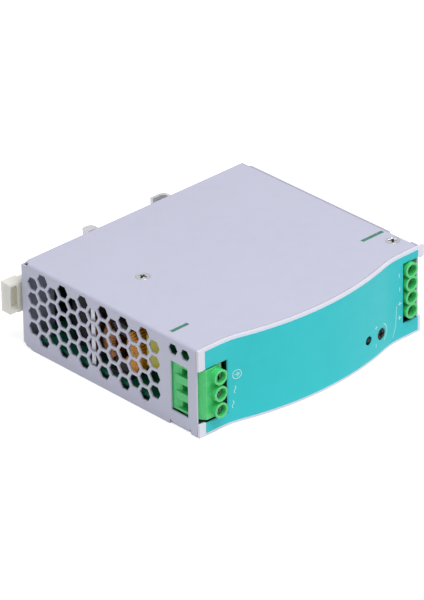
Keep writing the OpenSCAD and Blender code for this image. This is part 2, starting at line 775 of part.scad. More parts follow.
module insulating_sheet() color([0.92, 0.92, 0.88]) place() difference() {
    translate([tab_l + 1, board_b, sheet_t])
        cube([case_h - tab_l - 4, -board_b - pcb_back, sheet_ins]);
    for (p = posts) translate([p[0], p[1], 0]) cylinder(d = post_d + 1, h = far);
}

// Board that stands behind a terminal block, with a tab in each side plate
module terminal_board(x, w, tab_x, tab) {
    translate([x, board_f, board_lo]) cube([w, pcb_t, board_hi - board_lo]);
    translate([tab_x, board_f, seam]) cube([tab, pcb_t, case_w - 2 * seam]);
}

module input_board() color(board_c) place() difference() {
    terminal_board(sheet_t + pcb_end, in_board_w, in_tab_x, in_tab);
    in_block() leg_holes(in_poles, in_pitch, in_screw_x - entry_x, in_lift);
}

module output_board() color(board_c) place() difference() {
    terminal_board(case_h - sheet_t - pcb_end - out_board_w, out_board_w, out_tab_x, out_tab);
    out_block() leg_holes(out_poles, out_pitch, out_screw_x - entry_x, 0);
}

// Terminals: x from the wire side inwards, y from the board to the front (negative), z along the poles

module in_block() translate([entry_x, board_f - in_lift, in_mid]) children();
module out_block() translate([case_h - entry_x, board_f, out_mid]) mirror([1, 0, 0]) children();

module poles(n, pitch) for (i = [0 : n - 1]) translate([0, 0, (i - (n - 1) / 2) * pitch]) children();

// Space of one pole from y0 to y1 in front of the board
module pole_box(x0, x1, y0, y1, w) translate([x0, -y1, -w / 2]) cube([x1 - x0, y1 - y0, w]);

module pole_tube(y0, y1, d) translate([0, -y0, 0]) rotate([90, 0, 0]) cylinder(d = d, h = y1 - y0);

// Housing from lo below to hi above its middle, its back lift behind the plane y = 0
module terminal_housing(n, pitch, sx, cage_w, lo, hi, tube_l, lift, brow) {
    cav = cage_l / 2 + slide_gap;
    rear = sx + cav + housing_rear;
    front = brow ? brow_1 : shelf_1;
    tip = front + tube_l;
    difference() {
        union() {
            translate([0, 0, -lo]) linear_extrude(lo + hi) polygon(brow
                ? [[0, lift], [0, -brow_1 + brow_cut[1]], [brow_cut[0], -brow_1], [sx, -brow_1],
                    [sx, -shelf_1], [sx + cav + rear_wall, -shelf_1], [rear, -nut_1], [rear, lift]]
                : [[0, lift], [0, -shelf_1], [rear, -shelf_1], [rear, lift]]);
            poles(n, pitch) translate([sx, 0, 0]) pole_tube(cavity_1, tip, tube_out);
        }
        poles(n, pitch) {
            translate([sx, 0, 0]) pole_tube(shelf_1, tip + cut, tube_in);
            translate([sx, 0, 0]) pole_tube(cavity_1 - cut, shelf_1 + cut, thread_d + 4 * run_gap);
            pole_box(sx - cav, sx + cav, floor_t, cavity_1, cage_w + 2 * slide_gap);
            pole_box(-cut, sx, in_cage_b, bar_0 + 2 * slide_gap, cage_w - 2 * out_cage_t);
            translate([0, 0, -cage_w / 2 + out_cage_t]) linear_extrude(cage_w - 2 * out_cage_t)
                polygon([[-cut, -in_cage_b + ramp_l], [0, -in_cage_b + ramp_l], [ramp_d, -in_cage_b - cut],
                    [ramp_d, -bar_1], [-cut, -bar_1]]);
            pole_box(sx, sx + cav + leg_gap + leg_t + slide_gap, -lift - cut, bar_1 + slide_gap,
                bar_w + 2 * slide_gap);
        }
    }
}

// Clamp strip through the cage, with its leg down through the board
module contact_strips(n, pitch, sx, lift) poles(n, pitch) {
    pole_box(sx - cage_l / 2 + 0.4, sx + cage_l / 2 + leg_gap, bar_0, bar_1, bar_w);
    translate([sx + cage_l / 2 + leg_gap, 0, 0])
        pole_box(0, leg_t, -lift - pcb_t - leg_out, bar_1, bar_w);
}

// Clear holes for those legs in the board
module leg_holes(n, pitch, sx, lift) poles(n, pitch)
    translate([sx + cage_l / 2 + leg_gap, 0, 0])
        pole_box(-leg_play, leg_t + leg_play, -lift - pcb_t - leg_out, cut - lift, bar_w + 2 * leg_play);

module clamp_screw() {
    difference() {
        union() {
            pole_tube(head_0, head_1, head_d);
            pole_tube(tip_0, head_0 + cut, thread_d);
        }
        translate([0, -head_1 - cut, 0]) for (a = [0, 90]) rotate([0, a + 20, 0])
            translate([-cross_l / 2, 0, -cross_w / 2]) cube([cross_l, cut + cross_d, cross_w]);
    }
}

module clamp_cage(w, t) difference() {
    pole_box(-cage_l / 2, cage_l / 2, cage_0, nut_1, w);
    pole_box(-cage_l / 2 - cut, cage_l / 2 + cut, in_cage_b, nut_0, w - 2 * t);
    pole_tube(nut_0 - cut, nut_1 + cut, thread_d + 2 * run_gap);
}

function in_z(i) = (i - 1 - (in_poles - 1) / 2) * in_pitch;
function out_z(i) = (i - 1 - (out_poles - 1) / 2) * out_pitch;

module input_terminal_housing() color(terminal_c) place() in_block()
    terminal_housing(in_poles, in_pitch, in_screw_x - entry_x, in_cage_w, in_lo, in_hi,
        in_tube, in_lift, true);
module input_contacts() color(copper_c) place() in_block()
    contact_strips(in_poles, in_pitch, in_screw_x - entry_x, in_lift);
module input_screw(i) color(zinc_c) place() in_block()
    translate([in_screw_x - entry_x, 0, in_z(i)]) clamp_screw();
module input_cage(i) color(zinc_c) place() in_block()
    translate([in_screw_x - entry_x, 0, in_z(i)]) clamp_cage(in_cage_w, in_cage_t);

module output_terminal_housing() color(terminal_c) place() out_block()
    terminal_housing(out_poles, out_pitch, out_screw_x - entry_x, out_cage_w, out_half, out_half,
        out_tube, 0, false);
module output_contacts() color(copper_c) place() out_block()
    contact_strips(out_poles, out_pitch, out_screw_x - entry_x, 0);
module output_screw(i) color(zinc_c) place() out_block()
    translate([out_screw_x - entry_x, 0, out_z(i)]) clamp_screw();
module output_cage(i) color(zinc_c) place() out_block()
    translate([out_screw_x - entry_x, 0, out_z(i)]) clamp_cage(out_cage_w, out_cage_t);

// Adjuster and lamp on the output board

pot_x = led_x - pot_pitch;
pot_bore = 3;        // depth of the rotor in its body
led_l = 7;
led_flange = 0.6;

module at_front(x, z) translate([case_h - x, board_f, z]) rotate([90, 0, 0]) children();
function reach(x) = board_f - panel_y(case_h - x);

module adjust_pot_body() color([0.15, 0.35, 0.70]) place() at_front(pot_x, front_z) difference() {
    translate([-pot_side / 2, -pot_side / 2, 0]) round_block([pot_side, pot_side, pot_h], 0.6);
    translate([0, 0, pot_h - pot_bore]) cylinder(d = rotor_d + 2 * run_gap, h = far);
}

module adjust_pot_rotor() color([0.93, 0.92, 0.86]) place() at_front(pot_x, front_z) difference() {
    translate([0, 0, pot_h - pot_bore + slide_gap])
        cylinder(d = rotor_d, h = reach(pot_x) - pot_h + pot_bore - slide_gap);
    for (a = [0, 90]) translate([0, 0, reach(pot_x)]) rotate(a) cube([3, 0.8, 2], center = true);
}

module status_led() color([0.45, 0.90, 0.40]) place() at_front(led_x, front_z + led_rise) {
    base = reach(led_x) - led_l;
    translate([0, 0, base]) cylinder(d = led_d + 0.6, h = led_flange);
    translate([0, 0, base]) cylinder(d = led_d, h = led_l - led_d / 2);
    translate([0, 0, base + led_l - led_d / 2]) sphere(d = led_d);
}

module led_spacer() color(black_c) place() at_front(led_x, front_z + led_rise) difference() {
    cylinder(d = led_d + 2, h = reach(led_x) - led_l);
    for (s = [-1, 1]) translate([s * 0.8, 0, -cut]) cylinder(d = 0.7, h = far);
}

// Inner parts, laid out from the terminal boards towards the back
part_gap = 1;        // least distance between two inner parts
in_side = sheet_t + pcb_end;

lead_d = 0.8;
xcap_y = board_b + leg_out + part_gap / 2;
xcap_z = 19;

// Film capacitor on two leads behind the input board
module x_capacitor() color([0.85, 0.85, 0.25]) place() translate([in_side + part_gap, xcap_y, xcap_z]) {
    round_block([xcap_l, xcap_d, xcap_h], 0.8);
    for (x = [xcap_l / 5, xcap_l * 4 / 5]) translate([x, cut, xcap_h / 2]) rotate([90, 0, 0])
        cylinder(d = lead_d, h = xcap_y - board_b + cut);
}

choke_wind = 1.4;
choke_gap = 0.1;
choke_set = 4.4;     // from the interference capacitor to the line choke
choke_y = xcap_y + xcap_d + choke_set + choke_wind + choke_d / 2;
choke_x = in_side + 2 * part_gap;
choke_z = pcb_top + choke_d / 2 + choke_wind + choke_gap;
choke_foot = 12;

module on_choke() translate([choke_x, choke_y, choke_z]) rotate([0, 90, 0]) children();

// Ring of rectangular section, bore d0, outer diameter d1, height h
module ring_section(d0, d1, h) translate([d0 / 2, 0]) square([(d1 - d0) / 2, h]);

module line_choke_core() color(ferrite_c) place() {
    on_choke() translate([0, 0, choke_wind]) rotate_extrude() ring_section(choke_in, choke_d, choke_w);
    translate([choke_x, choke_y - choke_foot / 2, pcb_top]) cube([choke_w + 2 * choke_wind, choke_foot, 1]);
    translate([choke_x + choke_wind, choke_y - 1, pcb_top]) cube([choke_w, 2, 2 * choke_wind]);
}

module line_choke_windings() color(copper_c) place() on_choke() for (a = [30, 210]) rotate(a)
    rotate_extrude(angle = 120) difference() {
        ring_section(choke_in - 2 * choke_wind, choke_d + 2 * choke_wind, choke_w + 2 * choke_wind);
        translate([0, choke_wind - choke_gap])
            ring_section(choke_in - 2 * choke_gap, choke_d + 2 * choke_gap, choke_w + 2 * choke_gap);
    }

// Disc on edge with two leads to the board
module disc_part(d, t) translate([0, 0, pcb_top + d / 2 + part_gap]) rotate([0, 90, 0]) {
    cylinder(d = d, h = t);
    for (s = [-1, 1]) translate([0, s * d / 4, t / 2]) rotate([0, 90, 0])
        cylinder(d = lead_d, h = d / 2 + part_gap);
}

varistor_d = 11;
varistor_t = 4;

module varistor() color([0.15, 0.30, 0.65]) place()
    translate([post_mid - screw_head / 2 - varistor_t, board_b + post_front, 0])
        disc_part(varistor_d, varistor_t - 0.25);

fuse_d = 5;
fuse_l = 20;
clip_l = 5;
clip_d = 6;
fuse_rise = 3.2;

// Fuse in two clips
module fuse() color([0.85, 0.85, 0.80]) place()
    translate([post_mid + 10, board_b + clip_d / 2 + part_gap, pcb_top + fuse_rise]) {
        rotate([0, 90, 0]) cylinder(d = fuse_d, h = fuse_l);
        for (x = [0, fuse_l - clip_l]) translate([x, 0, 0]) {
            rotate([0, 90, 0]) cylinder(d = clip_d, h = clip_l);
            translate([part_gap, -1, -fuse_rise]) cube([clip_l - 2 * part_gap, 2, fuse_rise]);
        }
    }

sink_y = choke_y + choke_d / 2 + choke_wind + part_gap / 2;
sink_x = in_side + 0.4;
sink_screw_y = sink_y - 3;
flange_x = 7;        // half the width of the flange under the screw

// Bent plate across the case, with a flange under the cover for the screw
module primary_heatsink() color(alu_c) place() difference() {
    union() {
        translate([sink_x, sink_y, pcb_top]) cube([sink_l, sink_t, case_w - sheet_t - pcb_top]);
        translate([sink_screw_x - flange_x, sink_y + sink_t - sink_flange, case_w - sheet_t - sink_t])
            cube([2 * flange_x, sink_flange, sink_t]);
    }
    translate([sink_screw_x, sink_screw_y, case_w]) screw_void(case_screw_l);
}

leg_h = 4;           // legs of a package between board and body
leg_pitch = 2.54;
pack_w = 10;
pack_t = 4.4;
pack_h = 9.5;
tab_h = 16;
tab_t = 1.2;

// Power package with its tab against the plane y = 0: tab, body and three legs to the board
module power_package() {
    translate([-pack_w / 2, 0, leg_h]) cube([pack_w, tab_t, tab_h]);
    translate([-pack_w / 2, tab_t, leg_h]) cube([pack_w, pack_t - tab_t, pack_h]);
    for (x = [-leg_pitch, 0, leg_pitch]) translate([x - 0.4, 2, 0]) cube([lead_d, 0.7, leg_h]);
}

bridge_l = 18;
bridge_t = 3.6;
bridge_h = 12;
bridge_x = 20;

module bridge_rectifier() color(black_c) place() translate([bridge_x, sink_y - bridge_t, pcb_top]) {
    translate([0, 0, leg_h]) cube([bridge_l, bridge_t, bridge_h]);
    for (i = [0 : 3]) translate([(i + 0.5) * bridge_l / 4 - 0.5, bridge_t / 2, 0]) cube([1, lead_d, leg_h]);
}

module power_transistors() color(black_c) place() for (x = [sink_x + pack_w, sink_x + 2.4 * pack_w])
    translate([x, sink_y + sink_t, pcb_top]) power_package();

bulk_x = in_side + bulk_d / 2 + 7.4;
bulk_y = sink_y + sink_t + pack_t + part_gap + bulk_d / 2;

// Aluminium can with a rolled groove and a scored vent
module can(d, h) {
    cylinder(d = d, h = 1);
    translate([0, 0, 1]) cylinder(d = d - 0.6, h = 1);
    translate([0, 0, 2]) difference() {
        cylinder(d = d, h = h - 2);
        for (a = [0, 60, 120]) rotate(a) translate([-d / 3, -0.3, h - 2.4]) cube([2 * d / 3, 0.6, 1]);
    }
}

module bulk_capacitors() color(black_c) place() for (i = [0, 1])
    translate([bulk_x + i * (bulk_d + part_gap), bulk_y, pcb_top]) can(bulk_d, bulk_h);

core_x = mid_x + 11;
core_back = 28;      // from the back wall to the core
core_y = -core_back - core_d / 2;
core_rise = 9.5;     // from the board to the core
core_z = pcb_top + core_rise;
leg_w = 5;
leg_mid = 9;
coil_t = 6;          // winding above and below the middle leg
former_t = 1.2;
former_gap = 0.2;
wind_w = core_l - 2 * leg_w - 1;
wind_d = core_d - 2 * leg_w - 3;

module transformer_core() color(ferrite_c) place() translate([core_x, core_y, core_z]) {
    difference() {
        translate([-core_l / 2, -core_d / 2, 0]) cube([core_l, core_d, core_t]);
        translate([-core_l / 2 + leg_w, -core_d / 2 + leg_w, -cut])
            cube([core_l - 2 * leg_w, core_d - 2 * leg_w, core_t + 2 * cut]);
    }
    translate([-leg_mid / 2, -core_d / 2 + 1, 0]) cube([leg_mid, core_d - 2, core_t]);
}

// Coil former: tube round the middle leg, two flanges and a pin base
module transformer_bobbin() color(black_c) place() translate([core_x, core_y, 0]) difference() {
    union() {
        translate([-leg_mid / 2 - former_t, -wind_d / 2 - 1, core_z - former_t])
            cube([leg_mid + 2 * former_t, wind_d + 2, core_t + 2 * former_t]);
        for (y = [-wind_d / 2 - former_t, wind_d / 2])
            translate([-wind_w / 2, y, pcb_top + 1])
                cube([wind_w, former_t, core_rise + core_t + coil_t - 1]);
        for (s = [-1, 1]) translate([-wind_w / 2, s * (core_d / 2 - 2) - 3, pcb_top])
            cube([wind_w, 6, core_rise - former_gap]);
        translate([-wind_w / 2, -core_d / 2 + 1, pcb_top]) cube([wind_w, core_d - 2, 1.5]);
    }
    translate([-leg_mid / 2 - former_gap, -far / 2, core_z - former_gap])
        cube([leg_mid + 2 * former_gap, far, core_t + 2 * former_gap]);
}

module transformer_winding() color(tape_c) place() translate([core_x, core_y, core_z + core_t / 2])
    rotate([90, 0, 0]) translate([0, 0, -wind_d / 2 + 0.1]) linear_extrude(wind_d - 0.2) difference() {
        translate([-wind_w / 2, -core_t / 2 - coil_t]) round_rect(wind_w, core_t + 2 * coil_t, 3);
        square([leg_mid + 2 * former_t + former_gap, core_t + 2 * former_t + former_gap], center = true);
    }

ochoke_x = case_h - ochoke_d / 2 - sink_end - sink_t - part_gap / 2;
ochoke_y = board_b + ochoke_d / 2 + 4 * part_gap;
ochoke_in = 8;

module output_choke() color([0.75, 0.70, 0.20]) place() translate([ochoke_x, ochoke_y, pcb_top])
    rotate_extrude() translate([ochoke_in / 2, 0]) round_rect((ochoke_d - ochoke_in) / 2, ochoke_h, 1.5);

sink2_x = case_h - sink_end - sink_t;
sink2_y = ochoke_y + ochoke_d / 2 + part_gap;
sink2_l = -sink2_y - post_in - screw_head / 2 - part_gap / 4;
fin_l = 2;
fin_t = 1.4;
fins = 3;

// Plate with fins towards the output end
module secondary_heatsink() color(alu_c) place() translate([sink2_x, sink2_y, pcb_top]) {
    cube([sink_t, sink2_l, sink_h]);
    for (i = [1 : fins]) translate([sink_t, 0, i * sink_h / (fins + 1)]) cube([fin_l, sink2_l, fin_t]);
}

module output_rectifiers() color(black_c) place() for (i = [1, 2])
    translate([sink2_x, sink2_y + i * sink2_l / 3, pcb_top]) rotate(90) power_package();

ctl_x = core_x + core_l / 2 + part_gap;
ctl_t = 1.2;
ctl_h = 20;
ctl_back = 18;       // from the back wall to the control board
chip_t = 1.6;
chip_w = 4;

// Board on edge with two packages on it
module control_board() color(board_c) place() translate([ctl_x, sink2_y, pcb_top]) {
    cube([ctl_t, -sink2_y - ctl_back, ctl_h]);
    translate([ctl_t, 3 * chip_w, 6]) cube([chip_t, 2.5 * chip_w, chip_w]);
    translate([ctl_t, 7 * chip_w, 9]) cube([chip_t, 1.25 * chip_w, chip_w]);
}

ocap_x = 22.5;       // from the output end to the middle of the output capacitors
ocap_in = 6;         // from the board's edge to the first of them

module output_capacitors() color([0.12, 0.20, 0.35]) place() for (i = [0 : 2])
    translate([case_h - ocap_x, -pcb_back - ocap_in - (ocap_d + part_gap) * i - ocap_d / 2, pcb_top])
        can(ocap_d, ocap_h);

upper_cover();
lower_chassis();
front_panel();
front_label();
cover_screws();
rail_bracket();
bracket_rivets();
rail_latch();
latch_spring();
main_board();
board_standoffs();
board_screws();
insulating_sheet();
input_board();
output_board();
input_terminal_housing();
input_contacts();
input_screw(1);  // input_screw_1
input_screw(2);  // input_screw_2
input_screw(3);  // input_screw_3
input_cage(1);  // input_cage_1
input_cage(2);  // input_cage_2
input_cage(3);  // input_cage_3
output_terminal_housing();
output_contacts();
output_screw(1);  // output_screw_1
output_screw(2);  // output_screw_2
output_screw(3);  // output_screw_3
output_screw(4);  // output_screw_4
output_cage(1);  // output_cage_1
output_cage(2);  // output_cage_2
output_cage(3);  // output_cage_3
output_cage(4);  // output_cage_4
adjust_pot_body();
adjust_pot_rotor();
status_led();
led_spacer();
x_capacitor();
line_choke_core();
line_choke_windings();
varistor();
fuse();
primary_heatsink();
bridge_rectifier();
power_transistors();
bulk_capacitors();
transformer_core();
transformer_bobbin();
transformer_winding();
control_board();
secondary_heatsink();
output_rectifiers();
output_capacitors();
output_choke();
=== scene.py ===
import json
import math

import bpy
import numpy as np
from mathutils import Matrix, Vector

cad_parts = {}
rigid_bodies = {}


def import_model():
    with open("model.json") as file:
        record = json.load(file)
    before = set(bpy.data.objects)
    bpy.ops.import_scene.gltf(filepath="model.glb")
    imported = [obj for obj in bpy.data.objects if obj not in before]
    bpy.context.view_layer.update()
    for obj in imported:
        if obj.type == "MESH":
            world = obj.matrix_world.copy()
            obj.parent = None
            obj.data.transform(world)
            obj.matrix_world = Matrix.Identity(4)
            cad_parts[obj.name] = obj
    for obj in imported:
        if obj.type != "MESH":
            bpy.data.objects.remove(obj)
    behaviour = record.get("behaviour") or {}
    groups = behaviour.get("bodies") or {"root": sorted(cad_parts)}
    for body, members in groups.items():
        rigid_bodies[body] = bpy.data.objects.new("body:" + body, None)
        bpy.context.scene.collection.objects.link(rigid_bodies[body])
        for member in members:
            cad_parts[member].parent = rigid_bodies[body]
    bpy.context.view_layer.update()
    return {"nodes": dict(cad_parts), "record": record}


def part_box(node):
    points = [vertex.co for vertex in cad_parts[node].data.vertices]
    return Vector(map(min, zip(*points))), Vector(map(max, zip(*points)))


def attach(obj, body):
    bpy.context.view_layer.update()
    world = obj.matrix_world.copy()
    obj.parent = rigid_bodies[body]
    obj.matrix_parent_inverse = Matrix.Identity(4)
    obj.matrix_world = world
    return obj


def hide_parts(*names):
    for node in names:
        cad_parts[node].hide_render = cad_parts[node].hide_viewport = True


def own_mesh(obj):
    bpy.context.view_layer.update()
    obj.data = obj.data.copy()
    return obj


for old in list(bpy.data.objects):
    bpy.data.objects.remove(old)
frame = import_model()
scene = bpy.context.scene
scene.view_settings.view_transform = "Standard"
mm = 0.001
fullTurn = 2 * np.pi
# The case's corner at its input end, back wall and lower plate
caseCorner = np.array([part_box("upper_cover")[0].x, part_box("lower_chassis")[1].y, 0.0])


def fromCase(points):  # millimetres from the case corner, to metres in the part's frame
    return caseCorner + np.asarray(points, float) * mm


def boxOf(node):  # middle and size of a node, as arrays
    low, high = (np.array(corner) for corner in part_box(node))
    return (low + high) / 2, high - low


# Camera: turned round and tilted as in the photograph, a long way off, with a narrow view
view = {"aim": (-0.003183, 0.000928, 0.019499), "away": 2.17096, "round": -42.897, "up": 29.060, "roll": -0.947,
        "pixels": 5281.5, "tall": 600, "sensor": 36}


def makeCamera(v):
    a, e, r = (math.radians(v[k]) for k in ("round", "up", "roll"))
    back = Vector((math.sin(a) * math.cos(e), -math.cos(a) * math.cos(e), math.sin(e)))
    right = Vector((math.cos(a), math.sin(a), 0))
    top = back.cross(right)
    side = right * math.cos(r) + top * math.sin(r)
    top = top * math.cos(r) - right * math.sin(r)
    lens = bpy.data.cameras.new("viewCamera")
    lens.sensor_fit = "VERTICAL"
    lens.sensor_height = v["sensor"]
    lens.lens = v["pixels"] * v["sensor"] / v["tall"]
    camera = bpy.data.objects.new("viewCamera", lens)
    turn = Matrix((side, top, back)).transposed().to_4x4()
    camera.matrix_world = Matrix.Translation(Vector(v["aim"]) + back * v["away"]) @ turn
    scene.collection.objects.link(camera)
    scene.camera = camera


makeCamera(view)
print("camera set")


# Node helpers
def addNode(tree, kind, **values):
    node = tree.nodes.new(kind)
    for key, value in values.items():
        setattr(node, key, value)
    return node


def newGroup(name, inputs, outputs):
    group = bpy.data.node_groups.new(name, "ShaderNodeTree")
    for label, kind, start in inputs:
        socket = group.interface.new_socket(label, in_out="INPUT", socket_type="NodeSocket" + kind)
        socket.default_value = start
    for label, kind in outputs:
        group.interface.new_socket(label, in_out="OUTPUT", socket_type="NodeSocket" + kind)
    return group, addNode(group, "NodeGroupInput"), addNode(group, "NodeGroupOutput")


# Cloudy change of colour over a surface, in two sizes of noise on Object coordinates
mottleNoise = {"finer": 7.0, "largeDetail": 3.0, "smallDetail": 2.0, "low": 0.15, "high": 0.4}


def makeMottle():
    group, given, out = newGroup("surfaceMottle",
                                 [("Base", "Color", (1, 1, 1, 1)), ("Shade", "Color", (0, 0, 0, 1)),
                                  ("Amount", "Float", 0.3), ("Scale", "Float", 80.0)], [("Color", "Color")])
    link = group.links.new
    place = addNode(group, "ShaderNodeTexCoord")
    large = addNode(group, "ShaderNodeTexNoise")
    small = addNode(group, "ShaderNodeTexNoise")
    times = addNode(group, "ShaderNodeMath", operation="MULTIPLY")
    times.inputs[1].default_value = mottleNoise["finer"]
    large.inputs["Detail"].default_value = mottleNoise["largeDetail"]
    small.inputs["Detail"].default_value = mottleNoise["smallDetail"]
    both = addNode(group, "ShaderNodeMath", operation="MULTIPLY")
    spread = addNode(group, "ShaderNodeMapRange")
    spread.inputs["From Min"].default_value = mottleNoise["low"]
    spread.inputs["From Max"].default_value = mottleNoise["high"]
    part = addNode(group, "ShaderNodeMath", operation="MULTIPLY")
    mix = addNode(group, "ShaderNodeMix", data_type="RGBA")
    link(place.outputs["Object"], large.inputs["Vector"])
    link(place.outputs["Object"], small.inputs["Vector"])
    link(given.outputs["Scale"], large.inputs["Scale"])
    link(given.outputs["Scale"], times.inputs[0])
    link(times.outputs[0], small.inputs["Scale"])
    link(large.outputs[0], both.inputs[0])
    link(small.outputs[0], both.inputs[1])
    link(both.outputs[0], spread.inputs["Value"])
    link(spread.outputs[0], part.inputs[0])
    link(given.outputs["Amount"], part.inputs[1])
    link(part.outputs[0], mix.inputs["Factor"])
    link(given.outputs["Base"], mix.inputs["A"])
    link(given.outputs["Shade"], mix.inputs["B"])
    link(mix.outputs["Result"], out.inputs["Color"])
    return group


# Fine grain: a height for a bump, and a roughness that wanders round its middle value
grainNoise = {"detail": 3.0, "roughness": 0.6, "middle": 0.5}


def makeGrain():
    group, given, out = newGroup("fineGrain",
                                 [("Scale", "Float", 900.0), ("Stretch", "Vector", (1, 1, 1)),
                                  ("Middle", "Float", 0.4), ("Wander", "Float", 0.1)],
                                 [("Height", "Float"), ("Roughness", "Float")])
    link = group.links.new
    place = addNode(group, "ShaderNodeTexCoord")
    pull = addNode(group, "ShaderNodeVectorMath", operation="MULTIPLY")
    noise = addNode(group, "ShaderNodeTexNoise")
    noise.inputs["Detail"].default_value = grainNoise["detail"]
    noise.inputs["Roughness"].default_value = grainNoise["roughness"]
    off = addNode(group, "ShaderNodeMath", operation="SUBTRACT")
    off.inputs[1].default_value = grainNoise["middle"]
    part = addNode(group, "ShaderNodeMath", operation="MULTIPLY_ADD")
    link(place.outputs["Object"], pull.inputs[0])
    link(given.outputs["Stretch"], pull.inputs[1])
    link(pull.outputs[0], noise.inputs["Vector"])
    link(given.outputs["Scale"], noise.inputs["Scale"])
    link(noise.outputs[0], off.inputs[0])
    link(off.outputs[0], part.inputs[0])
    link(given.outputs["Wander"], part.inputs[1])
    link(given.outputs["Middle"], part.inputs[2])
    link(noise.outputs[0], out.inputs["Height"])
    link(part.outputs[0], out.inputs["Roughness"])
    return group


# Softened edges: the normal of a rounded edge, and a mask of where it leaves the flat normal; the mask places a painted
# highlight on the edges
def makeEdge():
    group, given, out = newGroup("edgeSoftener", [("Radius", "Float", 0.0003), ("Reach", "Float", 4.0)],
                                 [("Normal", "Vector"), ("Mask", "Float")])
    link = group.links.new
    bevel = addNode(group, "ShaderNodeBevel", samples=6)
    flat = addNode(group, "ShaderNodeNewGeometry")
    dot = addNode(group, "ShaderNodeVectorMath", operation="DOT_PRODUCT")
    away = addNode(group, "ShaderNodeMath", operation="SUBTRACT")
    away.inputs[0].default_value = 1.0
    mask = addNode(group, "ShaderNodeMath", operation="MULTIPLY", use_clamp=True)
    link(given.outputs["Radius"], bevel.inputs["Radius"])
    link(bevel.outputs[0], dot.inputs[0])
    link(flat.outputs["Normal"], dot.inputs[1])
    link(dot.outputs["Value"], away.inputs[1])
    link(away.outputs[0], mask.inputs[0])
    link(given.outputs["Reach"], mask.inputs[1])
    link(bevel.outputs[0], out.inputs["Normal"])
    link(mask.outputs[0], out.inputs["Mask"])
    return group


# An opening: a mask that is 1 inside a rectangle or a round of the given half size in x and z, on Object coordinates
def makeOpening():
    group, given, out = newGroup("openingMask",
                                 [("Middle", "Vector", (0, 0, 0)), ("Half", "Vector", (1, 1, 1)),
                                  ("Round", "Float", 0.0)], [("Mask", "Float")])
    link = group.links.new
    place = addNode(group, "ShaderNodeTexCoord")
    away = addNode(group, "ShaderNodeVectorMath", operation="SUBTRACT")
    share = addNode(group, "ShaderNodeVectorMath", operation="DIVIDE")
    size = addNode(group, "ShaderNodeVectorMath", operation="ABSOLUTE")
    parts = addNode(group, "ShaderNodeSeparateXYZ")
    square = addNode(group, "ShaderNodeMath", operation="MAXIMUM")
    circle = addNode(group, "ShaderNodeVectorMath", operation="LENGTH")
    either = addNode(group, "ShaderNodeMix", data_type="FLOAT")
    mask = addNode(group, "ShaderNodeMath", operation="LESS_THAN")
    mask.inputs[1].default_value = 1.0
    link(place.outputs["Object"], away.inputs[0])
    link(given.outputs["Middle"], away.inputs[1])
    link(away.outputs[0], share.inputs[0])
    link(given.outputs["Half"], share.inputs[1])
    link(share.outputs[0], size.inputs[0])
    link(share.outputs[0], circle.inputs[0])
    link(size.outputs[0], parts.inputs[0])
    link(parts.outputs["X"], square.inputs[0])
    link(parts.outputs["Z"], square.inputs[1])
    link(given.outputs["Round"], either.inputs["Factor"])
    link(square.outputs[0], either.inputs["A"])
    link(circle.outputs["Value"], either.inputs["B"])
    link(either.outputs["Result"], mask.inputs[0])
    link(mask.outputs[0], out.inputs["Mask"])
    return group


surfaceMottle, fineGrain, edgeSoftener, openingMask = makeMottle(), makeGrain(), makeEdge(), makeOpening()


def useGroup(tree, group, **values):
    node = addNode(tree, "ShaderNodeGroup", node_tree=group)
    for key, value in values.items():
        node.inputs[key].default_value = value
    return node


def toLinear(rgb):  # 0 to 255 screen colour, to the scene's linear colour
    c = np.array(rgb, float) / 255
    c = np.where(c <= 0.04045, c / 12.92, ((c + 0.055) / 1.055) ** 2.4)
    return (*c.tolist(), 1.0)


def layOver(tree, under, mask, colour):  # a colour over another one, where the mask is 1
    mix = addNode(tree, "ShaderNodeMix", data_type="RGBA")
    mix.inputs["B"].default_value = toLinear(colour)
    tree.links.new(mask, mix.inputs["Factor"])
    tree.links.new(under, mix.inputs["A"])
    return mix.outputs["Result"]


# Openings of the front panel: middle and half size in x and z from the case corner, and 1 for a round one
panelOpenings = {"input": ((9.55, 18.25), (5.55, 12.2), 0), "output": ((119.15, 21.4), (4.05, 13.8), 0),
                 "lamp": ((90.4, 10.9), (1.9, 1.9), 1), "adjuster": ((99.8, 9.5), (2.5, 2.5), 1)}
# What a finish has where its own entry says nothing; edge, bumpDepth and innerReach are in millimetres
plainLook = {"mottle": 0.4, "mottleScale": 90.0, "grain": 900.0, "stretch": (1, 1, 1), "wander": 0.12, "edge": 0.25,
             "edgeHighlightReach": 3.0, "bump": 0.1, "bumpDepth": 0.05, "metal": 0.0, "specular": 0.5, "coat": 0.0,
             "coatRough": 0.1, "inner": 0.0, "innerReach": 1.2, "innerTint": (1.0, 0.85, 0.65), "openingFilmAndShade": ()}
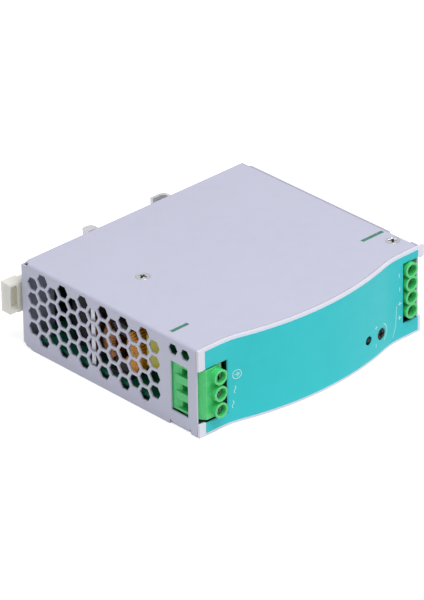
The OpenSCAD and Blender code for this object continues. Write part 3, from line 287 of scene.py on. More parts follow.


# One finish: mottled colour with a painted highlight on the edges, grain in bump and roughness, rounded edge normals.
# Painted shade follows the piece's recess shade attribute; the film's teal and painted shade on the walls go round the
# panel's openings, each as far as it says
def makeFinish(name, ownLook):
    look = {**plainLook, **ownLook}
    material = bpy.data.materials.new(name)
    material.use_nodes = True
    tree = material.node_tree
    link = tree.links.new
    shader = tree.nodes["Principled BSDF"]
    mottle = useGroup(tree, surfaceMottle, Base=toLinear(look["colour"]), Shade=toLinear(look["shade"]),
                      Amount=look["mottle"], Scale=look["mottleScale"])
    grain = useGroup(tree, fineGrain, Scale=look["grain"], Stretch=look["stretch"], Middle=look["rough"],
                     Wander=look["wander"])
    edge = useGroup(tree, edgeSoftener, Radius=look["edge"] * mm, Reach=look["edgeHighlightReach"])
    # Painted highlight: a lighter colour laid on the edges
    colour = layOver(tree, mottle.outputs["Color"], edge.outputs["Mask"], look["edgeColour"])
    # Painted shade: a dark colour in screw recesses and round the heads' rims, following the recess attribute
    if "recessColour" in look:
        sunk = addNode(tree, "ShaderNodeAttribute", attribute_name="recess")
        colour = layOver(tree, colour, sunk.outputs["Fac"], look["recessColour"])
    # Round each opening: first the film's teal, then painted shade, a dark teal on the opening's walls
    for grow, filmAndShadeColour in look["openingFilmAndShade"]:
        for (x, z), (halfX, halfZ), rounded in panelOpenings.values():
            inside = useGroup(tree, openingMask, Middle=fromCase((x, 0, z)).tolist(), Round=rounded,
                              Half=((halfX + grow) * mm, 1.0, (halfZ + grow) * mm))
            colour = layOver(tree, colour, inside.outputs["Mask"], filmAndShadeColour)
    link(colour, shader.inputs["Base Color"])
    link(grain.outputs["Roughness"], shader.inputs["Roughness"])
    bump = addNode(tree, "ShaderNodeBump")
    bump.inputs["Strength"].default_value = look["bump"]
    bump.inputs["Distance"].default_value = look["bumpDepth"] * mm
    link(grain.outputs["Height"], bump.inputs["Height"])
    link(edge.outputs["Normal"], bump.inputs["Normal"])
    link(bump.outputs["Normal"], shader.inputs["Normal"])
    shader.inputs["Metallic"].default_value = look["metal"]
    shader.inputs["Specular IOR Level"].default_value = look["specular"]
    shader.inputs["Coat Weight"].default_value = look["coat"]
    shader.inputs["Coat Roughness"].default_value = look["coatRough"]
    shader.inputs["Subsurface Weight"].default_value = look["inner"]
    shader.inputs["Subsurface Radius"].default_value = look["innerTint"]
    shader.inputs["Subsurface Scale"].default_value = look["innerReach"] * mm
    return material


# Finishes, one for each material slot of the record; colours as they look on the screen
looks = {
    # The lighter edge colour of every finish is a painted highlight
    "case_sheet": {"colour": (202, 203, 224), "shade": (194, 196, 217), "rough": 0.42, "mottle": 0.35,
                   "mottleScale": 26.0, "grain": 2600.0, "edgeColour": (228, 229, 241), "edge": 0.3, "coat": 0.15,
                   "coatRough": 0.25},
    # panel_white: the film's teal round its openings, then painted shade on the openings' walls
    "panel_white": {"colour": (234, 232, 246), "shade": (226, 224, 240), "rough": 0.36, "grain": 1500.0, "bump": 0.08,
                    "edgeColour": (244, 243, 250), "edge": 0.3,
                    "openingFilmAndShade": ((0.42, (52, 205, 211)), (0.03, (14, 48, 50)))},
    "panel_film": {"colour": (52, 205, 211), "shade": (43, 197, 204), "rough": 0.45, "mottle": 0.35,
                   "mottleScale": 22.0, "grain": 2200.0, "bump": 0.12, "edgeColour": (98, 216, 218), "edge": 0.12,
                   "specular": 0.25},
    "zinc_steel": {"colour": (196, 197, 202), "shade": (158, 160, 168), "rough": 0.34, "metal": 1.0, "mottle": 0.6,
                   "mottleScale": 160.0, "grain": 500.0, "stretch": (0.3, 1, 4), "bump": 0.12,
                   "edgeColour": (228, 228, 232)},
    "latch_nylon": {"colour": (253, 250, 238), "shade": (247, 241, 224), "rough": 0.45, "grain": 1200.0, "bump": 0.14,
                    "edgeColour": (250, 248, 240), "edge": 0.5, "inner": 0.45, "innerReach": 6.0},
    "board": {"colour": (30, 138, 104), "shade": (18, 104, 78), "rough": 0.32, "mottle": 0.8, "mottleScale": 300.0,
              "grain": 800.0, "edgeColour": (78, 152, 132), "edge": 0.2, "coat": 0.3},
    "insulator": {"colour": (196, 200, 190), "shade": (180, 184, 174), "rough": 0.3, "edgeColour": (214, 216, 208)},
    "terminal_green": {"colour": (74, 210, 122), "shade": (58, 194, 106), "rough": 0.36, "mottle": 0.45,
                       "grain": 1300.0, "bump": 0.12, "edgeColour": (150, 234, 166), "edge": 0.4, "inner": 0.4,
                       "innerReach": 3.0},
    "tinned_brass": {"colour": (206, 203, 190), "shade": (172, 166, 148), "rough": 0.3, "metal": 1.0, "mottle": 0.6,
                     "mottleScale": 200.0, "edgeColour": (226, 224, 214)},
    "pot_blue": {"colour": (40, 92, 170), "shade": (30, 72, 140), "rough": 0.38, "edgeColour": (88, 132, 196)},
    "pot_rotor": {"colour": (20, 24, 27), "shade": (13, 16, 18), "rough": 0.46, "edgeColour": (58, 63, 66),
                  "specular": 0.25},
    "lamp_green": {"colour": (10, 40, 30), "shade": (8, 30, 22), "rough": 0.3, "edgeColour": (24, 66, 50),
                   "specular": 0.25},
    "black_moulding": {"colour": (34, 34, 37), "shade": (24, 24, 27), "rough": 0.48, "grain": 1000.0, "bump": 0.2,
                       "edgeColour": (78, 78, 82)},
    "capacitor_sleeve": {"colour": (22, 22, 26), "shade": (15, 15, 18), "rough": 0.4, "edgeColour": (60, 60, 66),
                         "specular": 0.25},
    "film_yellow": {"colour": (214, 206, 70), "shade": (192, 184, 52), "rough": 0.35, "edgeColour": (234, 228, 130)},
    "ferrite": {"colour": (52, 52, 56), "shade": (38, 38, 42), "rough": 0.6, "mottle": 0.8, "mottleScale": 400.0,
                "grain": 1800.0, "bump": 0.3, "edgeColour": (96, 96, 100)},
    "copper_wire": {"colour": (196, 112, 52), "shade": (160, 84, 36), "rough": 0.28, "metal": 0.7, "mottle": 0.6,
                    "mottleScale": 260.0, "edgeColour": (226, 150, 92), "coat": 0.5},
    "varistor_blue": {"colour": (38, 84, 168), "shade": (28, 66, 138), "rough": 0.3, "edgeColour": (82, 122, 190),
                      "bump": 0.25},
    "fuse_body": {"colour": (220, 218, 206), "shade": (204, 202, 188), "rough": 0.3, "edgeColour": (236, 234, 226)},
    "sink_aluminium": {"colour": (184, 186, 192), "shade": (158, 160, 167), "rough": 0.36, "metal": 1.0,
                       "grain": 420.0, "stretch": (0.15, 1, 3), "bump": 0.14, "edgeColour": (212, 213, 217)},
    "tape_yellow": {"colour": (216, 160, 44), "shade": (188, 134, 32), "rough": 0.3, "mottle": 0.5,
                    "edgeColour": (236, 190, 96), "coat": 0.3},
    "choke_yellow": {"colour": (206, 190, 58), "shade": (178, 162, 44), "rough": 0.4, "edgeColour": (226, 214, 110)},
}
# Finishes of single pieces that differ from the rest of their slot
# The recess colour of the screws is painted shade in their recesses and round their heads' rims
looks["screw_steel"] = dict(looks["zinc_steel"], colour=(214, 214, 218), shade=(186, 186, 192), rough=0.26, metal=0.8,
                            edgeColour=(232, 232, 236), recessColour=(44, 44, 50))
# Clamp screws: a darker, greener copy of the screw steel, as painted shade and a painted green reflection from the
# green tubes round them
looks["clamp_steel_painted_shade"] = dict(looks["zinc_steel"], colour=(120, 146, 136), shade=(94, 118, 110), rough=0.36,
                            edgeColour=(160, 172, 168), recessColour=(30, 38, 36))
looks["bracket_zinc"] = dict(looks["zinc_steel"], colour=(224, 223, 228), shade=(194, 194, 201), rough=0.3, metal=0.4,
                             edgeColour=(238, 238, 242))
looks["wire_brown"] = dict(looks["copper_wire"], colour=(150, 96, 46), shade=(118, 72, 34), edgeColour=(190, 130, 76))
looks["wire_orange"] = dict(looks["copper_wire"], colour=(250, 172, 46), shade=(228, 146, 34), metal=0.1,
                            edgeColour=(250, 200, 104))
looks["panel_ink"] = dict(looks["panel_film"], colour=(214, 244, 244), shade=(196, 236, 238), edge=0.02)
finishOf = {"rail_bracket": "bracket_zinc", "bracket_rivets": "bracket_zinc"}
finishes = {name: makeFinish(name, look) for name, look in looks.items()}
for entry in frame["record"]["subparts"]:
    node = frame["nodes"][entry["node"]]
    node.data.materials.clear()
    node.data.materials.append(finishes[finishOf.get(entry["node"], entry["material_slot"])])
print("finishes set on", len(frame["nodes"]), "nodes")


# Four-sided faces over a grid of rows and columns; either direction can be closed on itself
def gridQuads(rows, cols, closeRows=False, closeCols=False):
    rowSteps, colSteps = rows if closeRows else rows - 1, cols if closeCols else cols - 1
    a, b = np.meshgrid(np.arange(rowSteps), np.arange(colSteps), indexing="ij")
    a2, b2 = (a + 1) % rows, (b + 1) % cols
    return np.stack([a * cols + b, a * cols + b2, a2 * cols + b2, a2 * cols + b], -1).reshape(-1, 4)


# A skin over closed rings of points; a middle point shuts each end
def skinRings(rings):
    n, m = rings.shape[:2]
    k = np.arange(m)
    k2 = (k + 1) % m
    ends = np.stack([rings[0].mean(0), rings[-1].mean(0)])
    first = np.stack([k2, k, np.full(m, n * m)], -1)
    last = np.stack([(n - 1) * m + k, (n - 1) * m + k2, np.full(m, n * m + 1)], -1)
    return np.vstack([rings.reshape(-1, 3), ends]), gridQuads(n, m, closeCols=True), np.vstack([first, last])


# A skin over closed rings of points where the last ring joins the first
def skinLoop(rings):
    return rings.reshape(-1, 3), gridQuads(*rings.shape[:2], True, True), np.zeros((0, 3), int)


# A round tube: at each point of the path a circle stands square to the path, turned so that it starts at the given side
def tubeAlong(path, sides, radius, around):
    ahead = np.gradient(path, axis=0)
    ahead /= np.linalg.norm(ahead, axis=1, keepdims=True)
    side = sides - (sides * ahead).sum(1, keepdims=True) * ahead
    side /= np.linalg.norm(side, axis=1, keepdims=True)
    other = np.cross(ahead, side)
    a = np.linspace(0, fullTurn, around, endpoint=False)[None, :, None]
    return skinRings(path[:, None] + radius * (np.cos(a) * side[:, None] + np.sin(a) * other[:, None]))


def moveSkin(skin, axes, middle):  # rows of axes say where local x, y and z point
    points, *rest = skin
    return points @ np.asarray(axes, float) + middle, *rest


# A piece from skins: points, quads, triangles and, if there is one, a painted shade value for each point, for recesses
# and rims
def addPiece(name, skins, slotName, body="case", stands=(), sharp=38, finish=None):
    points, faces, recess, start = [], [], [], 0
    for skin, quads, tris, *sunk in skins:
        points.append(skin)
        recess += sunk
        faces += (quads + start).tolist() + (tris + start).tolist()
        start += len(skin)
    mesh = bpy.data.meshes.new(name)
    mesh.from_pydata(np.vstack(points).tolist(), [], faces)
    # The painted shade of recesses and rims, kept as a point attribute
    if recess:
        mesh.attributes.new("recess", "FLOAT", "POINT").data.foreach_set("value", np.concatenate(recess))
    mesh.polygons.foreach_set("use_smooth", np.ones(len(faces), bool))
    mesh.set_sharp_from_angle(angle=math.radians(sharp))
    mesh.materials.append(finishes[finish or slotName])
    piece = bpy.data.objects.new(name, mesh)
    scene.collection.objects.link(piece)
    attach(piece, body)
    if stands:
        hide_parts(*stands)
    return piece


def smooth(x):  # eases from 0 to 1
    x = np.clip(x, 0, 1)
    return x * x * (3 - 2 * x)


# Outline of a rounded rectangle: a circle whose radius follows a high power of its sine and cosine
def softBox(angle, power):
    c, s = np.cos(angle), np.sin(angle)
    k = (np.abs(c) ** power + np.abs(s) ** power) ** (-1 / power)
    return np.stack([k * c, k * s], -1)


# Depth of a cross recess: two crossing flutes with steep sides, which shelve towards their ends
def crossDepth(u, v, half, reach, depth, shelve=0.5):
    def flute(across, along):
        return smooth((half - np.abs(across)) / (half * shelve)) * smooth((reach - np.abs(along)) / (reach * shelve))
    return depth * np.maximum(flute(u, v), flute(v, u))


# What all screws share: rows for each turn of thread, its crest, the taper of the tip, the rounding of the rim in
# shares of its height, and the painted shade on the rim's rings and in the recess
screwForm = {"turnRows": 8, "crestWide": 1.4, "crestSlope": 2.8, "tipShare": 0.72, "tipLong": 0.6, "gap": 0.01,
             "rimCurve": ((0, 1), (0, 0.55), (0.3, 0.15)), "topInset": 0.6, "eye": 0.04,
             "rimPaintedShade": (0, 0, 0.8, 0.8, 0.6), "recessDark": 1.6}


# A screw as rings from its tip to the top of its head: radius and height per ring and angle. The thread is a
# ridge whose phase is the angle less the height over the pitch; the recess is sunk into the rings of the top.
# The last array is painted shade for each point, from 0 to 1: it grows with depth in the recess, and part of it lies on
# the rim of the head.
def screwSkin(s):
    f = screwForm
    angle = np.linspace(0, fullTurn, s["cols"], endpoint=False)[None, :]
    zLow, zHead = -s["long"], -s["headTall"]
    rows = int((zHead - zLow) / s["pitch"] * f["turnRows"])
    z = np.linspace(zLow, zHead - 2 * f["gap"], rows)[:, None]
    phase = angle / fullTurn - z / s["pitch"]
    ridge = np.clip(f["crestWide"] - f["crestSlope"] * np.abs(phase - np.floor(phase) - 0.5), 0, 1)
    taper = np.clip((z - zLow) / f["tipLong"], 0, 1)
    r = (s["root"] + (s["crest"] - s["root"]) * ridge) * (f["tipShare"] + (1 - f["tipShare"]) * taper)
    under = np.array([[s["crest"], zHead - f["gap"]], [s["neck"], zHead]]
                     + [[s["head"] - s["rim"] * inset, -s["rim"] * down] for inset, down in f["rimCurve"]])
    wide = np.ones_like(angle)
    rTop = np.linspace(s["head"] - s["rim"] * f["topInset"], f["eye"], s["topRows"])[:, None] * wide
    u, v = rTop * np.cos(angle), rTop * np.sin(angle)
    sunk = crossDepth(u, v, s["flute"], s["fluteReach"], s["fluteDeep"])
    if "slot" in s:
        sunk = np.maximum(sunk, s["slotDeep"] * smooth((s["slot"] - np.abs(v)) / s["slotEdge"]))
    zTop = s["dome"] * (1 - (rTop / s["head"]) ** 2) - sunk
    radii = np.vstack([r, under[:, :1] * wide, rTop])
    heights = np.vstack([z * wide, under[:, 1:] * wide, zTop])
    # Painted shade: dark on the rim's rings and growing with depth in the recess
    paintedShade = np.vstack([0 * r, np.array(f["rimPaintedShade"])[:, None] * wide,
                      np.clip(sunk / s["fluteDeep"] * f["recessDark"], 0, 1)])
    rings = np.stack([radii * np.cos(angle), radii * np.sin(angle), heights], -1) * mm
    return *skinRings(rings), np.append(paintedShade.ravel(), [0, 1])


# Case screws: countersunk, slightly domed, with a cross recess; each place has its way up and its turn in radians
caseScrew = {"head": 3.1, "headTall": 1.6, "neck": 1.5, "rim": 0.2, "dome": 0.32, "crest": 1.5, "root": 1.2,
             "pitch": 0.5, "long": 4.0, "flute": 0.6, "fluteReach": 2.2, "fluteDeep": 1.0, "topRows": 34, "cols": 88}
caseScrewPlaces = [((26.7, -44.5, 40.0), 1, 0.35), ((120.3, -94.4, 40.0), 1, 0.9), ((4.9, -94.4, 0.0), -1, 0.2)]


def makeCaseScrews():
    skins = []
    for place, up, turn in caseScrewPlaces:
        c, s = math.cos(turn), math.sin(turn)
        sizes = dict(caseScrew, dome=caseScrew["dome"] if up > 0 else 0.0)  # flat on the side that the unit lies on
        skins.append(moveSkin(screwSkin(sizes), [[c, s * up, 0], [-s, c * up, 0], [0, 0, up]], fromCase(place)))
    addPiece("case_screws", skins, "zinc_steel", stands=("cover_screws",), sharp=50, finish="screw_steel")


makeCaseScrews()

# Clamp screws: cylinder heads with a slot and a cross, and a thread of 0.5 mm pitch; turns are in radians
clampScrew = {"head": 2.3, "headTall": 2.2, "neck": 2.3, "rim": 0.25, "dome": 0.05, "crest": 1.5, "root": 1.22,
              "pitch": 0.5, "flute": 0.42, "fluteReach": 1.5, "fluteDeep": 1.1, "slot": 0.42, "slotDeep": 0.75,
              "slotEdge": 0.12, "topRows": 26, "cols": 56, "firstTurn": 0.5, "nextTurn": 0.7}


def makeClampScrews():
    for side, count in (("input", 3), ("output", 4)):
        for i in range(count):
            name = f"{side}_screw_{i + 1}"
            middle, size = boxOf(name)
            head = middle - [0, size[1] / 2, 0]
            skin = screwSkin(dict(clampScrew, long=size[1] / mm))
            turn = clampScrew["firstTurn"] + clampScrew["nextTurn"] * i
            c, s = math.cos(turn), math.sin(turn)
            # Their finish carries painted shade and a painted green reflection for their place deep in the tubes
            addPiece(f"{side}_clamp_screw_{i + 1}", [moveSkin(skin, [[c, 0, s], [-s, 0, c], [0, -1, 0]], head)],
                     "zinc_steel", body=name, stands=(name,), sharp=50, finish="clamp_steel_painted_shade")


makeClampScrews()
print("screws made")

# Latch spring: a helix about x whose end turns lie close
spring = {"wire": 0.6, "turns": 9, "travel": 5.0, "closeTurns": 0.75, "easeTurns": 0.5, "closePitch": 1.04,
          "steps": 40, "sides": 12}


def makeSpring():
    p = spring
    middle, size = boxOf("latch_spring")
    low = middle - size / 2
    wire = p["wire"] * mm
    t = np.linspace(0, p["turns"], p["turns"] * p["steps"] + 1)
    spread = smooth((t - p["closeTurns"]) / p["easeTurns"])
    spread *= smooth((p["turns"] - p["closeTurns"] - t) / p["easeTurns"])
    rise = np.concatenate([[0], np.cumsum((spread[1:] + spread[:-1]) / 2 * np.diff(t))])
    closed = t * wire * p["closePitch"]
    x = closed + rise / rise[-1] * (size[0] - wire - closed[-1])
    a = fullTurn * t
    side = np.stack([np.zeros_like(a), np.cos(a), np.sin(a)], -1)
    axis = np.stack([low[0] + wire / 2 + x, np.full_like(a, middle[1]), np.full_like(a, middle[2])], -1)
    path = axis + (size[1] / 2 - wire / 2) * side
    piece = addPiece("latch_coil", [tubeAlong(path, side, wire / 2, p["sides"])], "zinc_steel",
                     stands=("latch_spring",))
    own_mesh(piece)


makeSpring()

# How wire lies on a ring core: how square a turn is, how far in the second layer lies and how soon it gets there
winding = {"square": 5, "layerIn": 0.9, "layerEase": 1.5, "steps": 44, "sides": 9}


# Wire round a ring core: the path runs round a rounded rectangle while it creeps along the ring; with two layers,
# every second turn lies nearly one wire further in on the bore's side
def ringWire(ringMid, halfDeep, halfTall, span, turns, wire, layers=1):
    w = winding
    u = np.linspace(0, 1, turns * w["steps"] + 1)
    turn = fullTurn * turns * u - np.pi / 2
    along = np.radians(span[0] + (span[1] - span[0]) * u)
    c, s = np.cos(turn), np.sin(turn)
    across, up = softBox(turn, w["square"]).T
    second = (np.floor(turns * u) % layers) * wire * w["layerIn"] * smooth(-c * w["layerEase"])
    out = ringMid + halfDeep * across - second
    path = np.stack([out * np.cos(along), out * np.sin(along), halfTall * up], -1)
    side = np.stack([c * np.cos(along), c * np.sin(along), s], -1)
    return tubeAlong(path, side, wire / 2, w["sides"])


# Line choke: two windings of thick wire on opposite sides of an upright ring
lineChoke = {"bore": 12.0, "layer": 1.4, "wire": 1.15, "turns": 18, "layers": 2,
             "back": ((33, 147), "wire_brown"), "front": ((213, 327), "wire_orange")}


def makeLineChoke():
    c = lineChoke
    middle, size = boxOf("line_choke_windings")
    outer, inner = size[1] / 2 - c["layer"] * mm, c["bore"] * mm / 2
    halfWide = size[0] / 2 - c["layer"] * mm
    wire = c["wire"] * mm
    for side in ("back", "front"):
        span, finish = c[side]
        skin = ringWire((outer + inner) / 2, (outer - inner) / 2 + wire / 2, halfWide + wire / 2, span, c["turns"],
                        wire, c["layers"])
        addPiece(f"line_choke_wire_{side}", [moveSkin(skin, [[0, 0, -1], [0, 1, 0], [1, 0, 0]], middle)],
                 "copper_wire", stands=("line_choke_windings",) if side == "back" else (), sharp=60, finish=finish)


makeLineChoke()

# Output choke: a rounded ring with one layer of wire nearly all the way round
outputChoke = {"bore": 8.0, "wire": 1.2, "turns": 17, "span": (20, 340), "round": 1.4, "around": 72, "cross": 32,
               "square": 8}


# A ring with rounded corners: a rounded rectangle turned about z
def ringSkin(inner, outer, halfTall, corner, o):
    p = np.linspace(fullTurn, 0, o["cross"], endpoint=False)
    c, s = np.cos(p), np.sin(p)
    deep, tall = (outer - inner) / 2 - corner, halfTall - corner
    off = np.clip(c * o["square"], -1, 1) * deep + corner * c
    up = np.clip(s * o["square"], -1, 1) * tall + corner * s
    a = np.linspace(0, fullTurn, o["around"], endpoint=False)[:, None]
    r = (inner + outer) / 2 + off
    return skinLoop(np.stack([r * np.cos(a), r * np.sin(a), up * np.ones_like(a)], -1))


def makeOutputChoke():
    o = outputChoke
    middle, size = boxOf("output_choke")
    wire = o["wire"] * mm
    outer, inner, halfTall = size[0] / 2 - wire, o["bore"] * mm / 2 + wire, size[2] / 2 - wire
    upright = np.eye(3)
    ring = ringSkin(inner, outer, halfTall, o["round"] * mm, o)
    addPiece("output_choke_ring", [moveSkin(ring, upright, middle)], "choke_yellow", stands=("output_choke",), sharp=60)
    skin = ringWire((outer + inner) / 2, (outer - inner) / 2 + wire / 2, halfTall + wire / 2, o["span"], o["turns"],
                    wire)
    addPiece("output_choke_wire", [moveSkin(skin, upright, middle)], "copper_wire", sharp=60)


makeOutputChoke()

# Transformer coil: a rounded block round the core's leg, wrapped in overlapping turns of tape
coil = {"tapes": 4, "lap": 0.18, "belly": 0.35, "shoulder": 0.6, "shoulderFrom": 0.94, "hole": (12.0, 14.0),
        "square": 6, "holeSquare": 24, "rows": 60, "cols": 96}


# Rings of a rounded rectangle go along the coil; they step in a little where one tape laps the next, and a second
# run of rings comes back through the square hole for the core's leg
def makeCoil():
    k = coil
    middle, size = boxOf("transformer_winding")
    half = size[[0, 2, 1]] / 2
    angle = np.linspace(0, fullTurn, k["cols"], endpoint=False)
    h = np.linspace(-1, 1, k["rows"])
    lap = k["lap"] * mm * (np.abs((h * k["tapes"] / 2) % 1.0 - 0.5) * 2)
    shoulder = k["shoulder"] * mm * smooth((np.abs(h) - k["shoulderFrom"]) / (1 - k["shoulderFrom"]))
    shrink = lap + k["belly"] * mm * h ** 2 + shoulder
    outside = (half[:2] - shrink[:, None])[:, None] * softBox(angle, k["square"])[None]
    inside = np.array(k["hole"]) * mm / 2 * softBox(angle, k["holeSquare"])[None] * np.ones((2, 1, 1))
    heights = np.concatenate([h, [1, -1]]) * half[2]
    flat = np.concatenate([outside, inside])
    rings = np.concatenate([flat, heights[:, None, None] * np.ones((1, len(angle), 1))], -1)
    skin = moveSkin(skinLoop(rings), [[1, 0, 0], [0, 0, 1], [0, -1, 0]], middle)
    addPiece("transformer_coil", [skin], "tape_yellow", stands=("transformer_winding",))


makeCoil()
print("coils made")

# Painted shade: thin dark sheets that stand against the inside of the back wall and behind the output end's two low
# vents, where inside the case is only shade; each with its lowest and highest corner and the number of its thin axis
shadeSheets = {"sheets": [((16.5, -1.25, 2.2), (84.0, -0.95, 37.6), 1), ((123.85, -100.0, 1.1), (124.25, -91.0, 8.1), 0)],
          "round": 1.5, "points": 48}


# A flat sheet with rounded corners between two opposite corners: rings of one outline at both ends of its thin axis
def sheetSkin(low, high, thin, corner, count):
    low, high = np.array(low), np.array(high)
    flat = [(thin + 1) % 3, (thin + 2) % 3]
    a = (np.arange(count) + 0.5) * fullTurn / count
    turn = np.stack([np.cos(a), np.sin(a)], -1)
    middle, half = (low + high)[flat] / 2, (high - low)[flat] / 2
    rings = np.zeros((2, count, 3))
    rings[..., flat] = middle + np.sign(turn) * (half - corner) + turn * corner
    rings[0, :, thin], rings[1, :, thin] = low[thin], high[thin]
    return skinRings(fromCase(rings))


def makeShadeSheets():
    skins = [sheetSkin(*sheet, shadeSheets["round"], shadeSheets["points"]) for sheet in shadeSheets["sheets"]]
    # Painted shade: dark sheets put where the inside of the case is in shade
    addPiece("painted_shade_sheets", skins, "black_moulding")


makeShadeSheets()

# Front marks: generic signs by the terminals and the adjuster, as thin ribbons of ink on the bowed film; places and
# lines are in x and z from the case corner
bow = {"radius": 140.0, "blend": 40.0, "bulge": 7.5, "depth": 105.8, "long": 125.2, "film": 0.2}
marks = {"thick": 0.05,
         "earth": {"at": (19.8, 22.4), "ring": 2.0, "ringPoints": 64, "stem": (-1.2, 0.1), "wide": 0.26,
                   "bars": ((0.1, 1.1), (0.6, 0.72), (1.1, 0.34))},
         "waves": {"at": ((18.8, 15.7), (17.8, 9.1)), "swing": 0.42, "half": 1.6, "wide": 0.3, "points": 40},
         "poles": {"minus": ((112.6, 30.9), (112.9, 24.4)), "plus": ((113.0, 17.6), (112.9, 11.0)), "half": 0.95,
                   "wide": 0.34},
         "scale": {"at": (99.8, 9.5), "radius": 4.4, "span": (-62, 66), "wide": 0.28,
                   "signs": ((95.0, 14.4, 96.6, 14.4), (95.8, 13.6, 95.8, 15.2), (95.8, 5.2, 95.8, 6.8))},
         "border": {"lines": ((111.0, 17.4, 110.4, 8.0), (110.4, 8.0, 108.6, 3.5)), "wide": 0.24}}


# Height of the film at x: an arc in the middle, a smaller arc the other way at each side of it, flat at the ends
def filmFace(x):
    b = bow
    dx = np.abs(x - b["long"] / 2)
    reach = math.sqrt(2 * (b["radius"] + b["blend"]) * b["bulge"] - b["bulge"] ** 2)
    turn = reach * (b["radius"] + b["film"]) / (b["radius"] + b["blend"])
    arc = b["radius"] - b["depth"] - b["bulge"] - np.sqrt(np.maximum((b["radius"] + b["film"]) ** 2 - dx ** 2, 0))
    ease = -b["depth"] - b["blend"] + np.sqrt(np.maximum((b["blend"] - b["film"]) ** 2 - (reach - dx) ** 2, 0))
    return np.where(dx < turn, arc, np.where(dx < reach, ease, -b["depth"] - b["film"]))


# A ribbon: at each point of an x, z path a flat section of the given width, laid on the film. A path that comes
# back to its start makes a closed band
def ribbonSkin(path, width):
    loop = np.allclose(path[0], path[-1])
    if loop:
        path = path[:-1]
        ahead = np.roll(path, -1, 0) - np.roll(path, 1, 0)
    else:
        ahead = np.gradient(path, axis=0)
    ahead /= np.linalg.norm(ahead, axis=1, keepdims=True)
    side = np.stack([-ahead[:, 1], ahead[:, 0]], -1) * width / 2
    flat = np.stack([path - side, path + side, path + side, path - side], 1)
    y = filmFace(flat[..., 0]) - np.array([0, 0, 1, 1]) * marks["thick"]
    rings = fromCase(np.stack([flat[..., 0], y, flat[..., 1]], -1))
    return skinLoop(rings) if loop else skinRings(rings)


def lineOf(x0, z0, x1, z1, count=6):
    t = np.linspace(0, 1, count)[:, None]
    return np.array([[x0, z0]]) * (1 - t) + np.array([[x1, z1]]) * t


def arcOf(x, z, radius, start, end, count=40):
    a = np.radians(np.linspace(start, end, count))
    return np.stack([x + radius * np.cos(a), z + radius * np.sin(a)], -1)


def makeMarks():
    earth, waves, poles, scale, border = (marks[k] for k in ("earth", "waves", "poles", "scale", "border"))
    x, z = earth["at"]
    skins = [ribbonSkin(arcOf(x, z, earth["ring"], 0, 360, earth["ringPoints"]), earth["wide"]),
             ribbonSkin(lineOf(x + earth["stem"][0], z, x + earth["stem"][1], z), earth["wide"])]
    for step, half in earth["bars"]:
        skins.append(ribbonSkin(lineOf(x + step, z - half, x + step, z + half), earth["wide"]))
    t = np.linspace(-1, 1, waves["points"])
    for x, z in waves["at"]:
        path = np.stack([x + waves["swing"] * np.sin(np.pi * t), z + waves["half"] * t], -1)
        skins.append(ribbonSkin(path, waves["wide"]))
    half = poles["half"]
    for sign in ("minus", "plus"):
        for x, z in poles[sign]:
            skins.append(ribbonSkin(lineOf(x, z - half, x, z + half), poles["wide"]))
            if sign == "plus":
                skins.append(ribbonSkin(lineOf(x - half, z, x + half, z), poles["wide"]))
    skins.append(ribbonSkin(arcOf(*scale["at"], scale["radius"], *scale["span"]), scale["wide"]))
    skins += [ribbonSkin(lineOf(*line), scale["wide"]) for line in scale["signs"]]
    skins += [ribbonSkin(lineOf(*line), border["wide"]) for line in border["lines"]]
    addPiece("front_marks", skins, "panel_film", finish="panel_ink")


makeMarks()
print("marks made")

# Floor and light: a pale floor that shows white, soft light from above, and a weaker lamp from the input side
studio = {"floorSize": 6.0, "floorPoints": 5, "floorDrop": 0.0002, "floorColour": (0.86, 0.86, 0.87, 1),
          "floorRough": 0.8, "floorGlow": 0.62, "ambient": 0.44, "lampAim": (0, 0, 0.02),
          "key": 12.0, "keyAt": (0.0, -0.5, 1.2), "keySize": 0.9, "keyTint": (1, 1, 1),
          "fill": 0.35, "fillAt": (-0.9, -0.7, 0.35), "fillSize": 0.8, "fillTint": (0.72, 1.0, 0.94)}


def seenRays(tree):  # 1 for the rays by which the camera sees, straight, in a reflection or through glass
    rays = addNode(tree, "ShaderNodeLightPath")
    seen = rays.outputs["Is Camera Ray"]
    for kind in ("Is Glossy Ray", "Is Transmission Ray"):
        both = addNode(tree, "ShaderNodeMath", operation="ADD", use_clamp=True)
        tree.links.new(seen, both.inputs[0])
        tree.links.new(rays.outputs[kind], both.inputs[1])
        seen = both.outputs[0]
    return seen


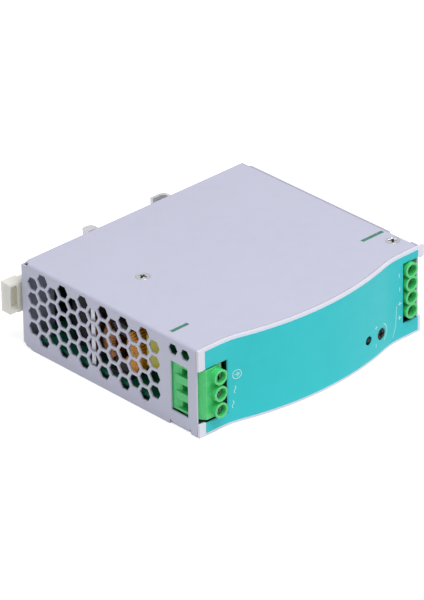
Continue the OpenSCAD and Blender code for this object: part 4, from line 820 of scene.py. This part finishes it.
def makeFloor(s):
    half, count = s["floorSize"] / 2, s["floorPoints"]
    u = np.linspace(-half, half, count)
    x, y = np.meshgrid(u, u, indexing="xy")
    points = np.stack([x, y, np.full_like(x, -s["floorDrop"])], -1).reshape(-1, 3)
    mesh = bpy.data.meshes.new("floor")
    mesh.from_pydata(points.tolist(), [], gridQuads(count, count).tolist())
    floor = bpy.data.objects.new("floor", mesh)
    scene.collection.objects.link(floor)
    material = bpy.data.materials.new("floor_pale")
    material.use_nodes = True
    tree = material.node_tree
    shader = tree.nodes["Principled BSDF"]
    shader.inputs["Base Color"].default_value = s["floorColour"]
    shader.inputs["Roughness"].default_value = s["floorRough"]
    shader.inputs["Emission Color"].default_value = (1, 1, 1, 1)
    glow = addNode(tree, "ShaderNodeMath", operation="MULTIPLY")
    glow.inputs[1].default_value = s["floorGlow"]
    tree.links.new(seenRays(tree), glow.inputs[0])
    tree.links.new(glow.outputs[0], shader.inputs["Emission Strength"])
    mesh.materials.append(material)


def makeWorld(s):
    world = bpy.data.worlds.new("studio")
    scene.world = world
    world.use_nodes = True
    tree = world.node_tree
    tree.nodes.clear()
    level = addNode(tree, "ShaderNodeMapRange")
    level.inputs["To Min"].default_value = s["ambient"]
    level.inputs["To Max"].default_value = 1.0
    glow = addNode(tree, "ShaderNodeBackground")
    out = addNode(tree, "ShaderNodeOutputWorld")
    tree.links.new(seenRays(tree), level.inputs["Value"])
    tree.links.new(level.outputs[0], glow.inputs["Strength"])
    tree.links.new(glow.outputs[0], out.inputs["Surface"])


def makeLamp(s, name):
    lamp = bpy.data.lights.new(name + "Lamp", "AREA")
    lamp.shape = "DISK"
    lamp.color = s[name + "Tint"]
    lamp.size = s[name + "Size"]
    lamp.energy = s[name]
    holder = bpy.data.objects.new(name + "Lamp", lamp)
    holder.location = s[name + "At"]
    holder.rotation_euler = (Vector(s["lampAim"]) - Vector(s[name + "At"])).to_track_quat("-Z", "Y").to_euler()
    scene.collection.objects.link(holder)


makeFloor(studio)
makeWorld(studio)
makeLamp(studio, "key")
makeLamp(studio, "fill")
print("studio set")
